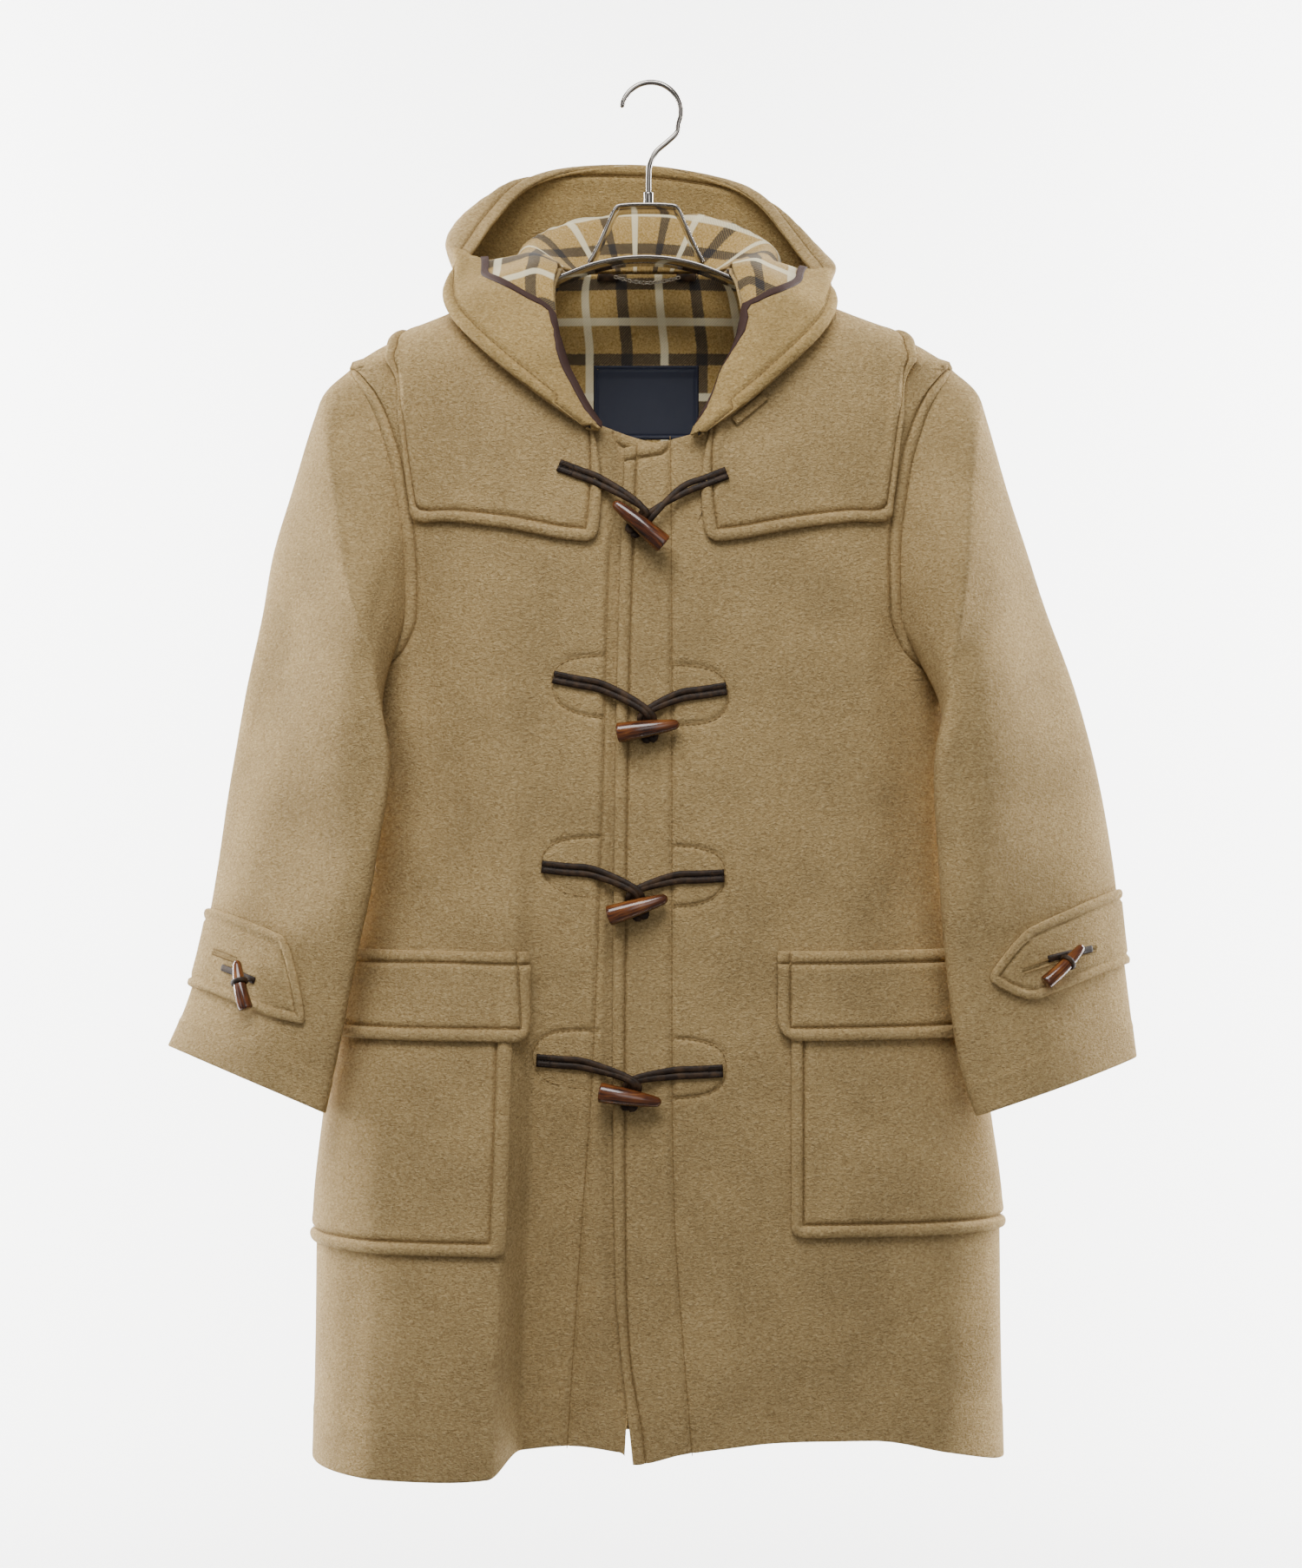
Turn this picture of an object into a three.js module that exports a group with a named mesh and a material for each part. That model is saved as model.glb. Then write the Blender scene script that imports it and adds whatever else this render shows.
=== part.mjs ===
// A duffle coat of heavy double-faced wool on a steel hanger, in millimetres.
// +Z is up, the front of the coat faces -Y, and +X is to the right as one looks at the front.
// The origin is the point under the crown of the hanger's hook where a rail holds it.
import * as THREE from 'three';

// Driving dimensions
const CLOTH = 3;              // heavy coating, one layer
const FACING_CLOTH = 2;       // the hood's facing, pressed flat
const GAP = 0.35;             // between pieces at a seam
const LAY = 0.9;              // clearance of a piece that lies on a panel
const UNDERLAP = CLOTH + 1.3; // how far the under front sinks below the over front
const SECTION_POWER = 2.4;    // roundness of the body's horizontal sections, 2 is an ellipse
const ARMHOLE_TOP = -229;
const ARMHOLE_BOTTOM = -480;
const HOOK_RADIUS = 24;
const HOOK_WIRE = 4;

// Body sections from hem to neck: half width, depth of the front and the back from the shoulder line,
// and how far the section's middle lies to the right.
const BODY = [
  { z: -1130, half: 277, front: 80, back: 80, middle: 6 },
  { z: -1000, half: 274, front: 80, back: 78, middle: 6 },
  { z: -911, half: 273, front: 80, back: 76, middle: 6 },
  { z: -820, half: 263, front: 79, back: 73, middle: 5 },
  { z: -700, half: 246, front: 78, back: 70, middle: 4 },
  { z: -560, half: 233, front: 77, back: 68, middle: 3 },
  { z: -480, half: 233, front: 76, back: 66, middle: 2 },
  { z: -400, half: 236, front: 74, back: 66, middle: 1 },
  { z: -290, half: 240, front: 68, back: 65, middle: 0 },
  { z: -229, half: 240, front: 58, back: 63, middle: 0 },
  { z: -222, half: 230, front: 56, back: 62, middle: 0 },
  { z: -212, half: 213, front: 54, back: 61, middle: 0 },
  { z: -190, half: 158, front: 48, back: 59, middle: -2 },
  { z: -171, half: 114, front: 43, back: 57, middle: -4 },
  { z: -148, half: 66, front: 36, back: 56, middle: -5 },
  { z: -140, half: 58, front: 34, back: 56, middle: -5 },
];

// How far round from the side seam, in degrees, the armhole cuts into the front and the back.
const ARMHOLE = [
  { z: -481, front: 0, back: 0 },
  { z: -480, front: 1, back: 1 },
  { z: -474, front: 17, back: 14 },
  { z: -456, front: 30, back: 24 },
  { z: -428, front: 36, back: 28 },
  { z: -380, front: 37, back: 30 },
  { z: -316, front: 34, back: 28 },
  { z: -281, front: 29, back: 24 },
  { z: -253, front: 21, back: 17 },
  { z: -235, front: 9, back: 8 },
  { z: -229, front: 0, back: 0 },
];

// The neckline of a front, by degrees round from the shoulder seam.
const NECKLINE = [
  { angle: 0, under: -148, over: -148 },
  { angle: 30, under: -154, over: -154 },
  { angle: 52, under: -168, over: -168 },
  { angle: 72, under: -203, over: -203 },
  { angle: 79, under: -246, over: -246 },
  { angle: 83, under: -281, over: -285 },
  { angle: 86, under: -287, over: -291 },
  { angle: 100, under: -314, over: -309 },
];
const BACK_NECK = -143;

// The two front edges, and where the cloth steps back beside the left pocket.
const FRONT_EDGE = [
  { z: -1130, over: -11, under: -22, step: -112 },
  { z: -1090, over: -14, under: -21, step: -111 },
  { z: -950, over: -28, under: -11, step: -106 },
  { z: -780, over: -30, under: 2, step: -100 },
  { z: -640, over: -29, under: 7, step: -98 },
  { z: -450, over: -26, under: 9, step: -98 },
  { z: -330, over: -22, under: 6, step: -98 },
  { z: -280, over: -20, under: 3.5, step: -98 },
];

// Height of the hem by place across the front, and depth of the long fold by height.
const HEM = [
  { x: -280, z: -1101 },
  { x: -230, z: -1100 },
  { x: -160, z: -1099 },
  { x: -125, z: -1096 },
  { x: -105, z: -1084 },
  { x: -60, z: -1081 },
  { x: -25, z: -1084 },
  { x: -14, z: -1093 },
  { x: 30, z: -1084 },
  { x: 100, z: -1079 },
  { x: 175, z: -1079 },
  { x: 235, z: -1090 },
  { x: 285, z: -1104 },
];
const LONG_FOLD = [
  { z: -1130, depth: 52 },
  { z: -950, depth: 42 },
  { z: -800, depth: 27 },
  { z: -680, depth: 13 },
  { z: -560, depth: 3 },
  { z: -480, depth: 0 },
];
const SOFT_FOLDS = [
  { x: 135, width: 60, depth: -9, from: -760 },
  { x: 225, width: 45, depth: 6, from: -800 },
  { x: 20, width: 70, depth: 7, from: -900 },
  { x: -62, width: 30, depth: -7, from: -620 },
];
const BACK_FOLDS = [
  { x: -165, width: 55, depth: 10, from: -420 },
  { x: -60, width: 60, depth: -8, from: -520 },
  { x: 60, width: 55, depth: 9, from: -480 },
  { x: 170, width: 60, depth: -7, from: -450 },
];

const RAD = Math.PI / 180;
const clamp = (v, low, high) => Math.min(Math.max(v, low), high);
const ease = (t) => { const c = clamp(t, 0, 1); return c * c * (3 - 2 * c); };
const between = (a, b, t) => a + (b - a) * t;

// A column of a table at a value of its first column, eased between rows without overshoot.
function read(table, column, key, at) {
  const rising = table[0][key] < table[table.length - 1][key];
  const rows = rising ? table : [...table].reverse();
  const last = rows.length - 1;
  const v = clamp(at, rows[0][key], rows[last][key]);
  let i = 0;
  while (i < last - 1 && v > rows[i + 1][key]) i++;
  const slope = (k) => (rows[k + 1][column] - rows[k][column]) / (rows[k + 1][key] - rows[k][key]);
  const tangent = (k) => {
    if (k === 0) return slope(0);
    if (k === last) return slope(last - 1);
    const a = slope(k - 1);
    const b = slope(k);
    return a * b > 0 ? (2 * a * b) / (a + b) : 0;
  };
  const span = rows[i + 1][key] - rows[i][key];
  const t = (v - rows[i][key]) / span;
  const t2 = t * t;
  const t3 = t2 * t;
  return (2 * t3 - 3 * t2 + 1) * rows[i][column] + (t3 - 2 * t2 + t) * span * tangent(i)
    + (3 * t2 - 2 * t3) * rows[i + 1][column] + (t3 - t2) * span * tangent(i + 1);
}
const bodyAt = (column, z) => read(BODY, column, 'z', z);
const edgeAt = (column, z) => read(FRONT_EDGE, column, 'z', z);

// Forward push of the front's folds and rearward push of the back's.
function foldSum(folds, x, z) {
  return folds.reduce((sum, f) => {
    const across = Math.exp(-(((x - f.x) / f.width) ** 2));
    return sum + f.depth * across * ease((f.from - z) / (f.from + 1100));
  }, 0);
}
function frontFold(x, z) {
  const step = edgeAt('step', z);
  const plateau = ease((step + 10 - x) / 24);
  return read(LONG_FOLD, 'depth', 'z', z) * plateau + foldSum(SOFT_FOLDS, x, z);
}

// A point of the body at an angle round from the left side: 90 degrees is the middle of the front.
function bodyPoint(angle, z) {
  const c = Math.cos(angle);
  const s = Math.sin(angle);
  const round = (v) => Math.sign(v) * Math.abs(v) ** (2 / SECTION_POWER);
  const x = bodyAt('middle', z) - bodyAt('half', z) * round(c);
  const depth = s > 0 ? bodyAt('front', z) : bodyAt('back', z);
  const fold = s > 0 ? -frontFold(x, z) : foldSum(BACK_FOLDS, x, z);
  return new THREE.Vector3(x, -depth * round(s) + fold * Math.min(1, 1.6 * Math.abs(s)), z);
}
function bodyNormal(angle, z) {
  const d = 0.012;
  const round = bodyPoint(angle + d, z).sub(bodyPoint(angle - d, z));
  const up = bodyPoint(angle, z + 1.5).sub(bodyPoint(angle, z - 1.5));
  return round.cross(up).normalize();
}
const lifted = (angle, z, lift) => bodyPoint(angle, z).addScaledVector(bodyNormal(angle, z), lift);

// The angle at which the front passes a given place across.
function frontAngle(x, z) {
  const share = clamp((bodyAt('middle', z) - x) / bodyAt('half', z), -1, 1);
  return Math.acos(Math.sign(share) * Math.abs(share) ** (SECTION_POWER / 2));
}
const onFront = (x, z, lift) => lifted(frontAngle(x, z), z, lift);

// The surface's direction at each point of a grid whose rows run upwards and columns to the right.
function gridNormals(points, closed) {
  const rows = points.length;
  const columns = points[0].length;
  return points.map((row, i) => row.map((p, j) => {
    const left = closed ? row[(j + columns - 1) % columns] : row[Math.max(j - 1, 0)];
    const right = closed ? row[(j + 1) % columns] : row[Math.min(j + 1, columns - 1)];
    const below = points[Math.max(i - 1, 0)][j];
    const above = points[Math.min(i + 1, rows - 1)][j];
    return right.clone().sub(left).cross(above.clone().sub(below)).normalize();
  }));
}

// A wall of cloth of one thickness round a grid of middle points, closed at all its edges.
// Each cell is split along the shorter diagonal of its guide, so that walls which lie together split alike.
function clothWall(points, normals, thickness, closed = false, guide = points) {
  const rows = points.length;
  const columns = points[0].length;
  const position = [];
  for (const side of [0.5, -0.5]) {
    points.forEach((row, i) => row.forEach((p, j) => {
      const q = p.clone().addScaledVector(normals[i][j], side * thickness);
      position.push(q.x, q.y, q.z);
    }));
  }
  const outer = (i, j) => i * columns + (j % columns);
  const inner = (i, j) => rows * columns + outer(i, j);
  const index = [];
  const quad = (a, b, c, d, other = false) => {
    if (other) index.push(a, b, d, b, c, d);
    else index.push(a, b, c, a, c, d);
  };
  const lastColumn = closed ? columns : columns - 1;
  for (let i = 0; i < rows - 1; i++) {
    for (let j = 0; j < lastColumn; j++) {
      const next = (j + 1) % columns;
      const rising = guide[i][j].distanceTo(guide[i + 1][next]);
      const falling = guide[i][next].distanceTo(guide[i + 1][j]);
      quad(outer(i, j), outer(i, j + 1), outer(i + 1, j + 1), outer(i + 1, j), falling < rising);
      quad(inner(i, j), inner(i + 1, j), inner(i + 1, j + 1), inner(i, j + 1), falling < rising);
    }
    if (!closed) {
      quad(outer(i, 0), outer(i + 1, 0), inner(i + 1, 0), inner(i, 0));
      quad(outer(i, lastColumn), inner(i, lastColumn), inner(i + 1, lastColumn), outer(i + 1, lastColumn));
    }
  }
  for (let j = 0; j < lastColumn; j++) {
    quad(outer(0, j), inner(0, j), inner(0, j + 1), outer(0, j + 1));
    quad(outer(rows - 1, j), outer(rows - 1, j + 1), inner(rows - 1, j + 1), inner(rows - 1, j));
  }
  const geometry = new THREE.BufferGeometry();
  geometry.setAttribute('position', new THREE.Float32BufferAttribute(position, 3));
  geometry.setIndex(index);
  geometry.computeVertexNormals();
  return geometry;
}

const COAT = new THREE.Group();
function piece(name, geometry, color, roughness = 0.95, metalness = 0) {
  const mesh = new THREE.Mesh(geometry, new THREE.MeshStandardMaterial({ color, roughness, metalness }));
  mesh.name = name;
  COAT.add(mesh);
  return mesh;
}
const CAMEL = '#b99f74';
const LEATHER = '#33251c';
const HORN = '#6b3216';
const STEEL = '#b9b4ae';
const BINDING = '#3a2118';
const LABEL = '#18203a';

// Body panels
const ARMHOLE_STEPS = 10;
const ARMHOLE_MIDDLE = (ARMHOLE_TOP + ARMHOLE_BOTTOM) / 2;
const ARMHOLE_REACH = (ARMHOLE_TOP - ARMHOLE_BOTTOM) / 2;
const armholeHeights = Array.from({ length: ARMHOLE_STEPS + 1 }, (_, k) => (
  ARMHOLE_MIDDLE - ARMHOLE_REACH * Math.cos((k / ARMHOLE_STEPS) * Math.PI)));
const SIDE_TOP = -148;
const ROWS_BELOW = [-1030, -950, -865, -790, -720, -650, -580, -520];
const ROWS_ABOVE = [-221, -212, -201, -190, -177, -163, SIDE_TOP];
const FRONT_SHARES = [0, 0.04, 0.09, 0.15, 0.23, 0.32, 0.42, 0.53, 0.64, 0.75, 0.85, 0.93, 1];
const BACK_SHARES = [0, 0.03, 0.07, 0.13, 0.2, 0.28, 0.36, 0.43, 0.5, 0.57, 0.64, 0.72, 0.8, 0.87, 0.93, 0.97, 1];
const SEAM_ANGLE = 0.0012;
const LAP_START = 26;   // before the over front's edge, where the under front starts to sink
const LAP_END = 4;

function armholeAngle(column, z) {
  return z <= ARMHOLE_BOTTOM || z >= ARMHOLE_TOP ? 0 : read(ARMHOLE, column, 'z', z) * RAD;
}
// Heights down the side seam, and the height of such a row where the panel's hem and top lie elsewhere.
const sideRows = (hem) => [hem, ...ROWS_BELOW, ...armholeHeights, ...ROWS_ABOVE];
function spread(rowZ, sideHem, hem, top) {
  return hem + ((rowZ - sideHem) / (SIDE_TOP - sideHem)) * (top - hem);
}

// A front is measured from its own side seam to its edge. The under front sinks where the other laps it.
function frontPanel(over) {
  const turned = (angle) => (over ? Math.PI - angle : angle);
  const hemAt = (angle) => read(HEM, 'z', 'x', bodyPoint(turned(angle), -1090).x);
  const topAt = (angle) => read(NECKLINE, over ? 'over' : 'under', 'angle', angle / RAD);
  const sideHem = hemAt(0);
  const points = [];
  const normals = [];
  for (const rowZ of sideRows(sideHem)) {
    const start = SEAM_ANGLE + armholeAngle('front', rowZ);
    const edgeZ = spread(rowZ, sideHem, hemAt(90 * RAD), topAt(90 * RAD));
    const edgeX = edgeAt(over ? 'over' : 'under', edgeZ);
    const angleAcross = (x) => (over ? Math.PI - frontAngle(x, edgeZ) : frontAngle(x, edgeZ));
    const end = angleAcross(edgeX);
    const plain = FRONT_SHARES.map((share) => between(start, end, share));
    let angles = plain;
    if (!over) {
      const lapEnd = Math.min(edgeAt('over', edgeZ), edgeX) - LAP_END;
      const step = edgeAt('step', edgeZ);
      const fold = [step - 22, step - 10, step, step + 10].map(angleAcross);
      const inFold = ease((-500 - rowZ) / 100);
      const lead = plain.slice(0, 6).map((angle, k) => between(angle, between(start, fold[0], k / 6), inFold));
      const ramp = fold.map((angle, k) => between(plain[6 + k], angle, inFold));
      const lap = [lapEnd - LAP_START, lapEnd].map(angleAcross);
      angles = [...lead, ...ramp, between(ramp[3], lap[0], 0.5), ...lap, end];
    }
    const row = angles.map((angle, k) => {
      const flat = FRONT_SHARES[Math.min(k, FRONT_SHARES.length - 1)];
      const across = over ? between(0, angleAcross(edgeX), flat) : (angle - start) * (end / (end - start));
      const z = spread(rowZ, sideHem, hemAt(across), topAt(across));
      const p = bodyPoint(turned(angle), z);
      const n = bodyNormal(turned(angle), z);
      if (!over) p.addScaledVector(n, -UNDERLAP * ease((k - angles.length + 3) / 1));
      return { p, n };
    });
    if (over) row.reverse();
    points.push(row.map((r) => r.p));
    normals.push(row.map((r) => r.n));
  }
  return clothWall(points, normals, CLOTH);
}

function backPanel() {
  const sideHem = -1104;
  const points = [];
  const normals = [];
  for (const rowZ of sideRows(sideHem)) {
    const notch = SEAM_ANGLE + armholeAngle('back', rowZ);
    const row = BACK_SHARES.map((share) => {
      const toMiddle = 1 - Math.abs(2 * share - 1);
      const angle = between(Math.PI + notch, 2 * Math.PI - notch, share);
      const z = spread(rowZ, sideHem, between(sideHem, -1100, toMiddle), between(SIDE_TOP, BACK_NECK, ease(toMiddle)));
      return { angle, z };
    });
    points.push(row.map((r) => bodyPoint(r.angle, r.z)));
    normals.push(row.map((r) => bodyNormal(r.angle, r.z)));
  }
  return clothWall(points, normals, CLOTH);
}
piece('front_under', frontPanel(false), CAMEL);
piece('front_over', frontPanel(true), CAMEL);
piece('back', backPanel(), CAMEL);

// Sleeves: rings from the armhole to the cuff. o is the outer rail, i the inner rail, and b the reach to the back.
const LEFT_SLEEVE = [
  { ox: -262, oy: -8, oz: -250, ix: -248, iy: -18, iz: -492, bx: -14, by: 52, bz: 0 },
  { ox: -277, oy: -10, oz: -300, ix: -238, iy: -32, iz: -505, bx: -24, by: 57, bz: 5 },
  { ox: -291, oy: -12, oz: -365, ix: -225, iy: -48, iz: -520, bx: -35, by: 58, bz: 8 },
  { ox: -301, oy: -13, oz: -430, ix: -216, iy: -58, iz: -545, bx: -36, by: 56, bz: 8 },
  { ox: -313, oy: -13, oz: -495, ix: -218, iy: -64, iz: -580, bx: -36, by: 53, bz: 6 },
  { ox: -327, oy: -12, oz: -560, ix: -226, iy: -64, iz: -625, bx: -34, by: 49, bz: 5 },
  { ox: -340, oy: -11, oz: -630, ix: -236, iy: -66, iz: -682, bx: -32, by: 46, bz: 4 },
  { ox: -352, oy: -12, oz: -690, ix: -245, iy: -66, iz: -735, bx: -30, by: 44, bz: 4 },
  { ox: -366, oy: -13, oz: -738, ix: -253, iy: -66, iz: -780, bx: -28, by: 42, bz: 4 },
  { ox: -383, oy: -15, oz: -775, ix: -260, iy: -66, iz: -820, bx: -24, by: 40, bz: 4 },
];
const RIGHT_SLEEVE = [
  { ox: 262, oy: -8, oz: -250, ix: 252, iy: -18, iz: -492, bx: 12, by: 52, bz: 0 },
  { ox: 276, oy: -10, oz: -300, ix: 246, iy: -32, iz: -505, bx: 20, by: 57, bz: 5 },
  { ox: 292, oy: -12, oz: -362, ix: 238, iy: -46, iz: -520, bx: 26, by: 58, bz: 8 },
  { ox: 310, oy: -13, oz: -425, ix: 231, iy: -56, iz: -545, bx: 28, by: 56, bz: 8 },
  { ox: 332, oy: -13, oz: -490, ix: 229, iy: -62, iz: -580, bx: 28, by: 53, bz: 6 },
  { ox: 352, oy: -12, oz: -556, ix: 231, iy: -64, iz: -630, bx: 27, by: 49, bz: 5 },
  { ox: 366, oy: -11, oz: -625, ix: 235, iy: -66, iz: -690, bx: 26, by: 46, bz: 4 },
  { ox: 374, oy: -11, oz: -690, ix: 240, iy: -66, iz: -742, bx: 25, by: 44, bz: 4 },
  { ox: 380, oy: -12, oz: -740, ix: 247, iy: -66, iz: -785, bx: 24, by: 42, bz: 4 },
  { ox: 386, oy: -13, oz: -784, ix: 259, iy: -66, iz: -822, bx: 22, by: 40, bz: 4 },
];
const SEAM_CLEARANCE = 0.96;
const SLEEVE_SIDES = 2 * ARMHOLE_STEPS;
const SLEEVE_ROWS = 14;

// Smooth values between rows of a table that all lie a step of one apart.
function spline(table, column, at) {
  const last = table.length - 1;
  const i = Math.min(Math.floor(clamp(at, 0, last)), last - 1);
  const t = clamp(at, 0, last) - i;
  const row = (k) => table[clamp(k, 0, last)][column];
  const [p0, p1, p2, p3] = [row(i - 1), row(i), row(i + 1), row(i + 2)];
  return p1 + 0.5 * t * (p2 - p0 + t * (2 * p0 - 5 * p1 + 4 * p2 - p3 + t * (3 * (p1 - p2) + p3 - p0)));
}

// A point of the sleeve: around runs from the outer rail over the front to the inner rail and the back.
function sleevePoint(table, at, around) {
  const value = (column) => spline(table, column, at);
  const outer = new THREE.Vector3(value('ox'), value('oy'), value('oz'));
  const inner = new THREE.Vector3(value('ix'), value('iy'), value('iz'));
  const back = new THREE.Vector3(value('bx'), value('by'), value('bz'));
  const centre = outer.clone().add(inner).multiplyScalar(0.5);
  const toOuter = outer.clone().sub(inner).multiplyScalar(0.5);
  return centre.addScaledVector(toOuter, Math.cos(around)).addScaledVector(back, -Math.sin(around));
}

// Where the middle of a wall starts that leaves a panel's edge: out is along the panel past its edge.
function seamStart(edge, away, clearance) {
  const out = new THREE.Vector3().crossVectors(edge.along, edge.normal);
  out.multiplyScalar(Math.sign(out.dot(edge.away)));
  const direction = away.clone().addScaledVector(edge.along, -away.dot(edge.along)).normalize();
  const folded = direction.dot(out);
  const rise = CLOTH / 2;
  if (folded < 0) return edge.point.clone().addScaledVector(edge.normal, rise * (1 - folded) + 1.6 * clearance);
  return edge.point.clone().addScaledVector(direction, clearance + rise * Math.abs(direction.dot(edge.normal)));
}

// The armhole's edge in the same turn as the sleeve, with the body's outward direction there.
function armholePoint(side, around) {
  const z = ARMHOLE_MIDDLE + ARMHOLE_REACH * Math.cos(around);
  const front = Math.sin(around) >= 0;
  const turn = armholeAngle(front ? 'front' : 'back', z);
  const left = front ? turn : -turn;
  const angle = side < 0 ? left : Math.PI - left;
  return { point: bodyPoint(angle, z), normal: bodyNormal(angle, z) };
}
function armholeEdge(side, around) {
  const edge = armholePoint(side, around);
  const ahead = armholePoint(side, around + 0.05).point;
  const behind = armholePoint(side, around - 0.05).point;
  const middle = new THREE.Vector3(edge.point.x, edge.point.y, ARMHOLE_MIDDLE);
  middle.x = armholePoint(side, Math.PI / 2).point.x * 0.5 + armholePoint(side, 0).point.x * 0.5;
  middle.y = 0;
  return { ...edge, along: ahead.sub(behind).normalize(), away: middle.sub(edge.point) };
}

function sleeve(side, table) {
  const points = [];
  const last = table.length - 1;
  const turns = Array.from({ length: SLEEVE_SIDES }, (_, j) => (j / SLEEVE_SIDES) * 2 * Math.PI);
  for (let i = SLEEVE_ROWS; i >= 1; i--) {
    const at = (last * (i - 1)) / (SLEEVE_ROWS - 1);
    points.push(turns.map((turn) => sleevePoint(table, at, turn)));
  }
  const firstRing = points[points.length - 1];
  points.push(turns.map((turn, j) => {
    const edge = armholeEdge(side, turn);
    return seamStart(edge, firstRing[j].clone().sub(edge.point), SEAM_CLEARANCE);
  }));
  if (side > 0) points.forEach((row) => row.reverse());
  return clothWall(points, gridNormals(points, true), CLOTH, true);
}
piece('sleeve_left', sleeve(-1, LEFT_SLEEVE), CAMEL);
piece('sleeve_right', sleeve(1, RIGHT_SLEEVE), CAMEL);

// Yoke: one cape piece round the neck. Each row joins a point beside the neckline to one on the outer edge.
// Turn is the angle round the body from the left side seam, positive over the front and negative over the back,
// and parts is how many steps lie between a row and the next.
const YOKE = [
  { neckTurn: 82, drop: 8, turn: 82.5, z: -375, bulge: 1.2, parts: 1 },
  { neckTurn: 80.5, drop: 12, turn: 76, z: -372, bulge: 0, parts: 1 },
  { neckTurn: 78, drop: 14, turn: 66, z: -364, bulge: 0, parts: 2 },
  { neckTurn: 74, drop: 12, turn: 53, z: -358, bulge: 0, parts: 2 },
  { neckTurn: 68, drop: 9, turn: 42.5, z: -356, bulge: 0, parts: 1 },
  { neckTurn: 60, drop: 7, turn: 41, z: -338, bulge: 0, parts: 1 },
  { neckTurn: 46, drop: 6, turn: 38, z: -280, bulge: 0, parts: 2 },
  { neckTurn: 28, drop: 5, turn: 33, z: -230, bulge: 0, parts: 2 },
  { neckTurn: 0, drop: 5, turn: 0, z: -207, bulge: 0, parts: 2 },
  { neckTurn: -28, drop: 5, turn: -31, z: -230, bulge: 0, parts: 2 },
  { neckTurn: -50, drop: 5, turn: -36, z: -280, bulge: 0, parts: 1 },
  { neckTurn: -62, drop: 5, turn: -36, z: -325, bulge: 0, parts: 1 },
  { neckTurn: -70, drop: 5, turn: -39, z: -340, bulge: 0, parts: 4 },
  { neckTurn: -80, drop: 5, turn: -66, z: -341, bulge: 0, parts: 2 },
  { neckTurn: -90, drop: 5, turn: -90, z: -342, bulge: 0, parts: 1 },
];
const YOKE_STEPS = [0, 0.1, 0.21, 0.33, 0.45, 0.57, 0.68, 0.79, 0.9, 1];
function neckHeight(turn, side) {
  if (turn >= 0) return read(NECKLINE, side > 0 ? 'over' : 'under', 'angle', turn);
  return between(SIDE_TOP, BACK_NECK, ease(-turn / 90));
}
function yokePoint(row, share, side, lift) {
  const neckZ = neckHeight(row.neckTurn, side) - row.drop;
  const turn = between(row.neckTurn, row.turn, share) + 4 * share * (1 - share) * row.bulge;
  const z = between(neckZ, row.z, share);
  const angle = (side < 0 ? turn : 180 - turn) * RAD;
  return { point: lifted(angle, z, lift), normal: bodyNormal(angle, z) };
}
function tableRow(table, at) {
  return Object.fromEntries(Object.keys(table[0]).map((column) => [column, spline(table, column, at)]));
}
const YOKE_LIFT = CLOTH + 2.4;
function yoke() {
  const places = [];
  for (let k = 0; k < YOKE.length - 1; k++) {
    for (let part = 0; part < YOKE[k].parts; part++) places.push(k + part / YOKE[k].parts);
  }
  const middle = YOKE.length - 1;
  const grid = [
    ...places.map((place) => ({ row: tableRow(YOKE, place), side: -1 })),
    { row: tableRow(YOKE, middle), side: -1 },
    ...places.reverse().map((place) => ({ row: tableRow(YOKE, place), side: 1 })),
  ];
  const cells = grid.map(({ row, side }) => (
    [...YOKE_STEPS].reverse().map((share) => yokePoint(row, share, side, YOKE_LIFT))));
  return clothWall(cells.map((r) => r.map((c) => c.point)), cells.map((r) => r.map((c) => c.normal)), CLOTH);
}
piece('yoke', yoke(), CAMEL);

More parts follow.
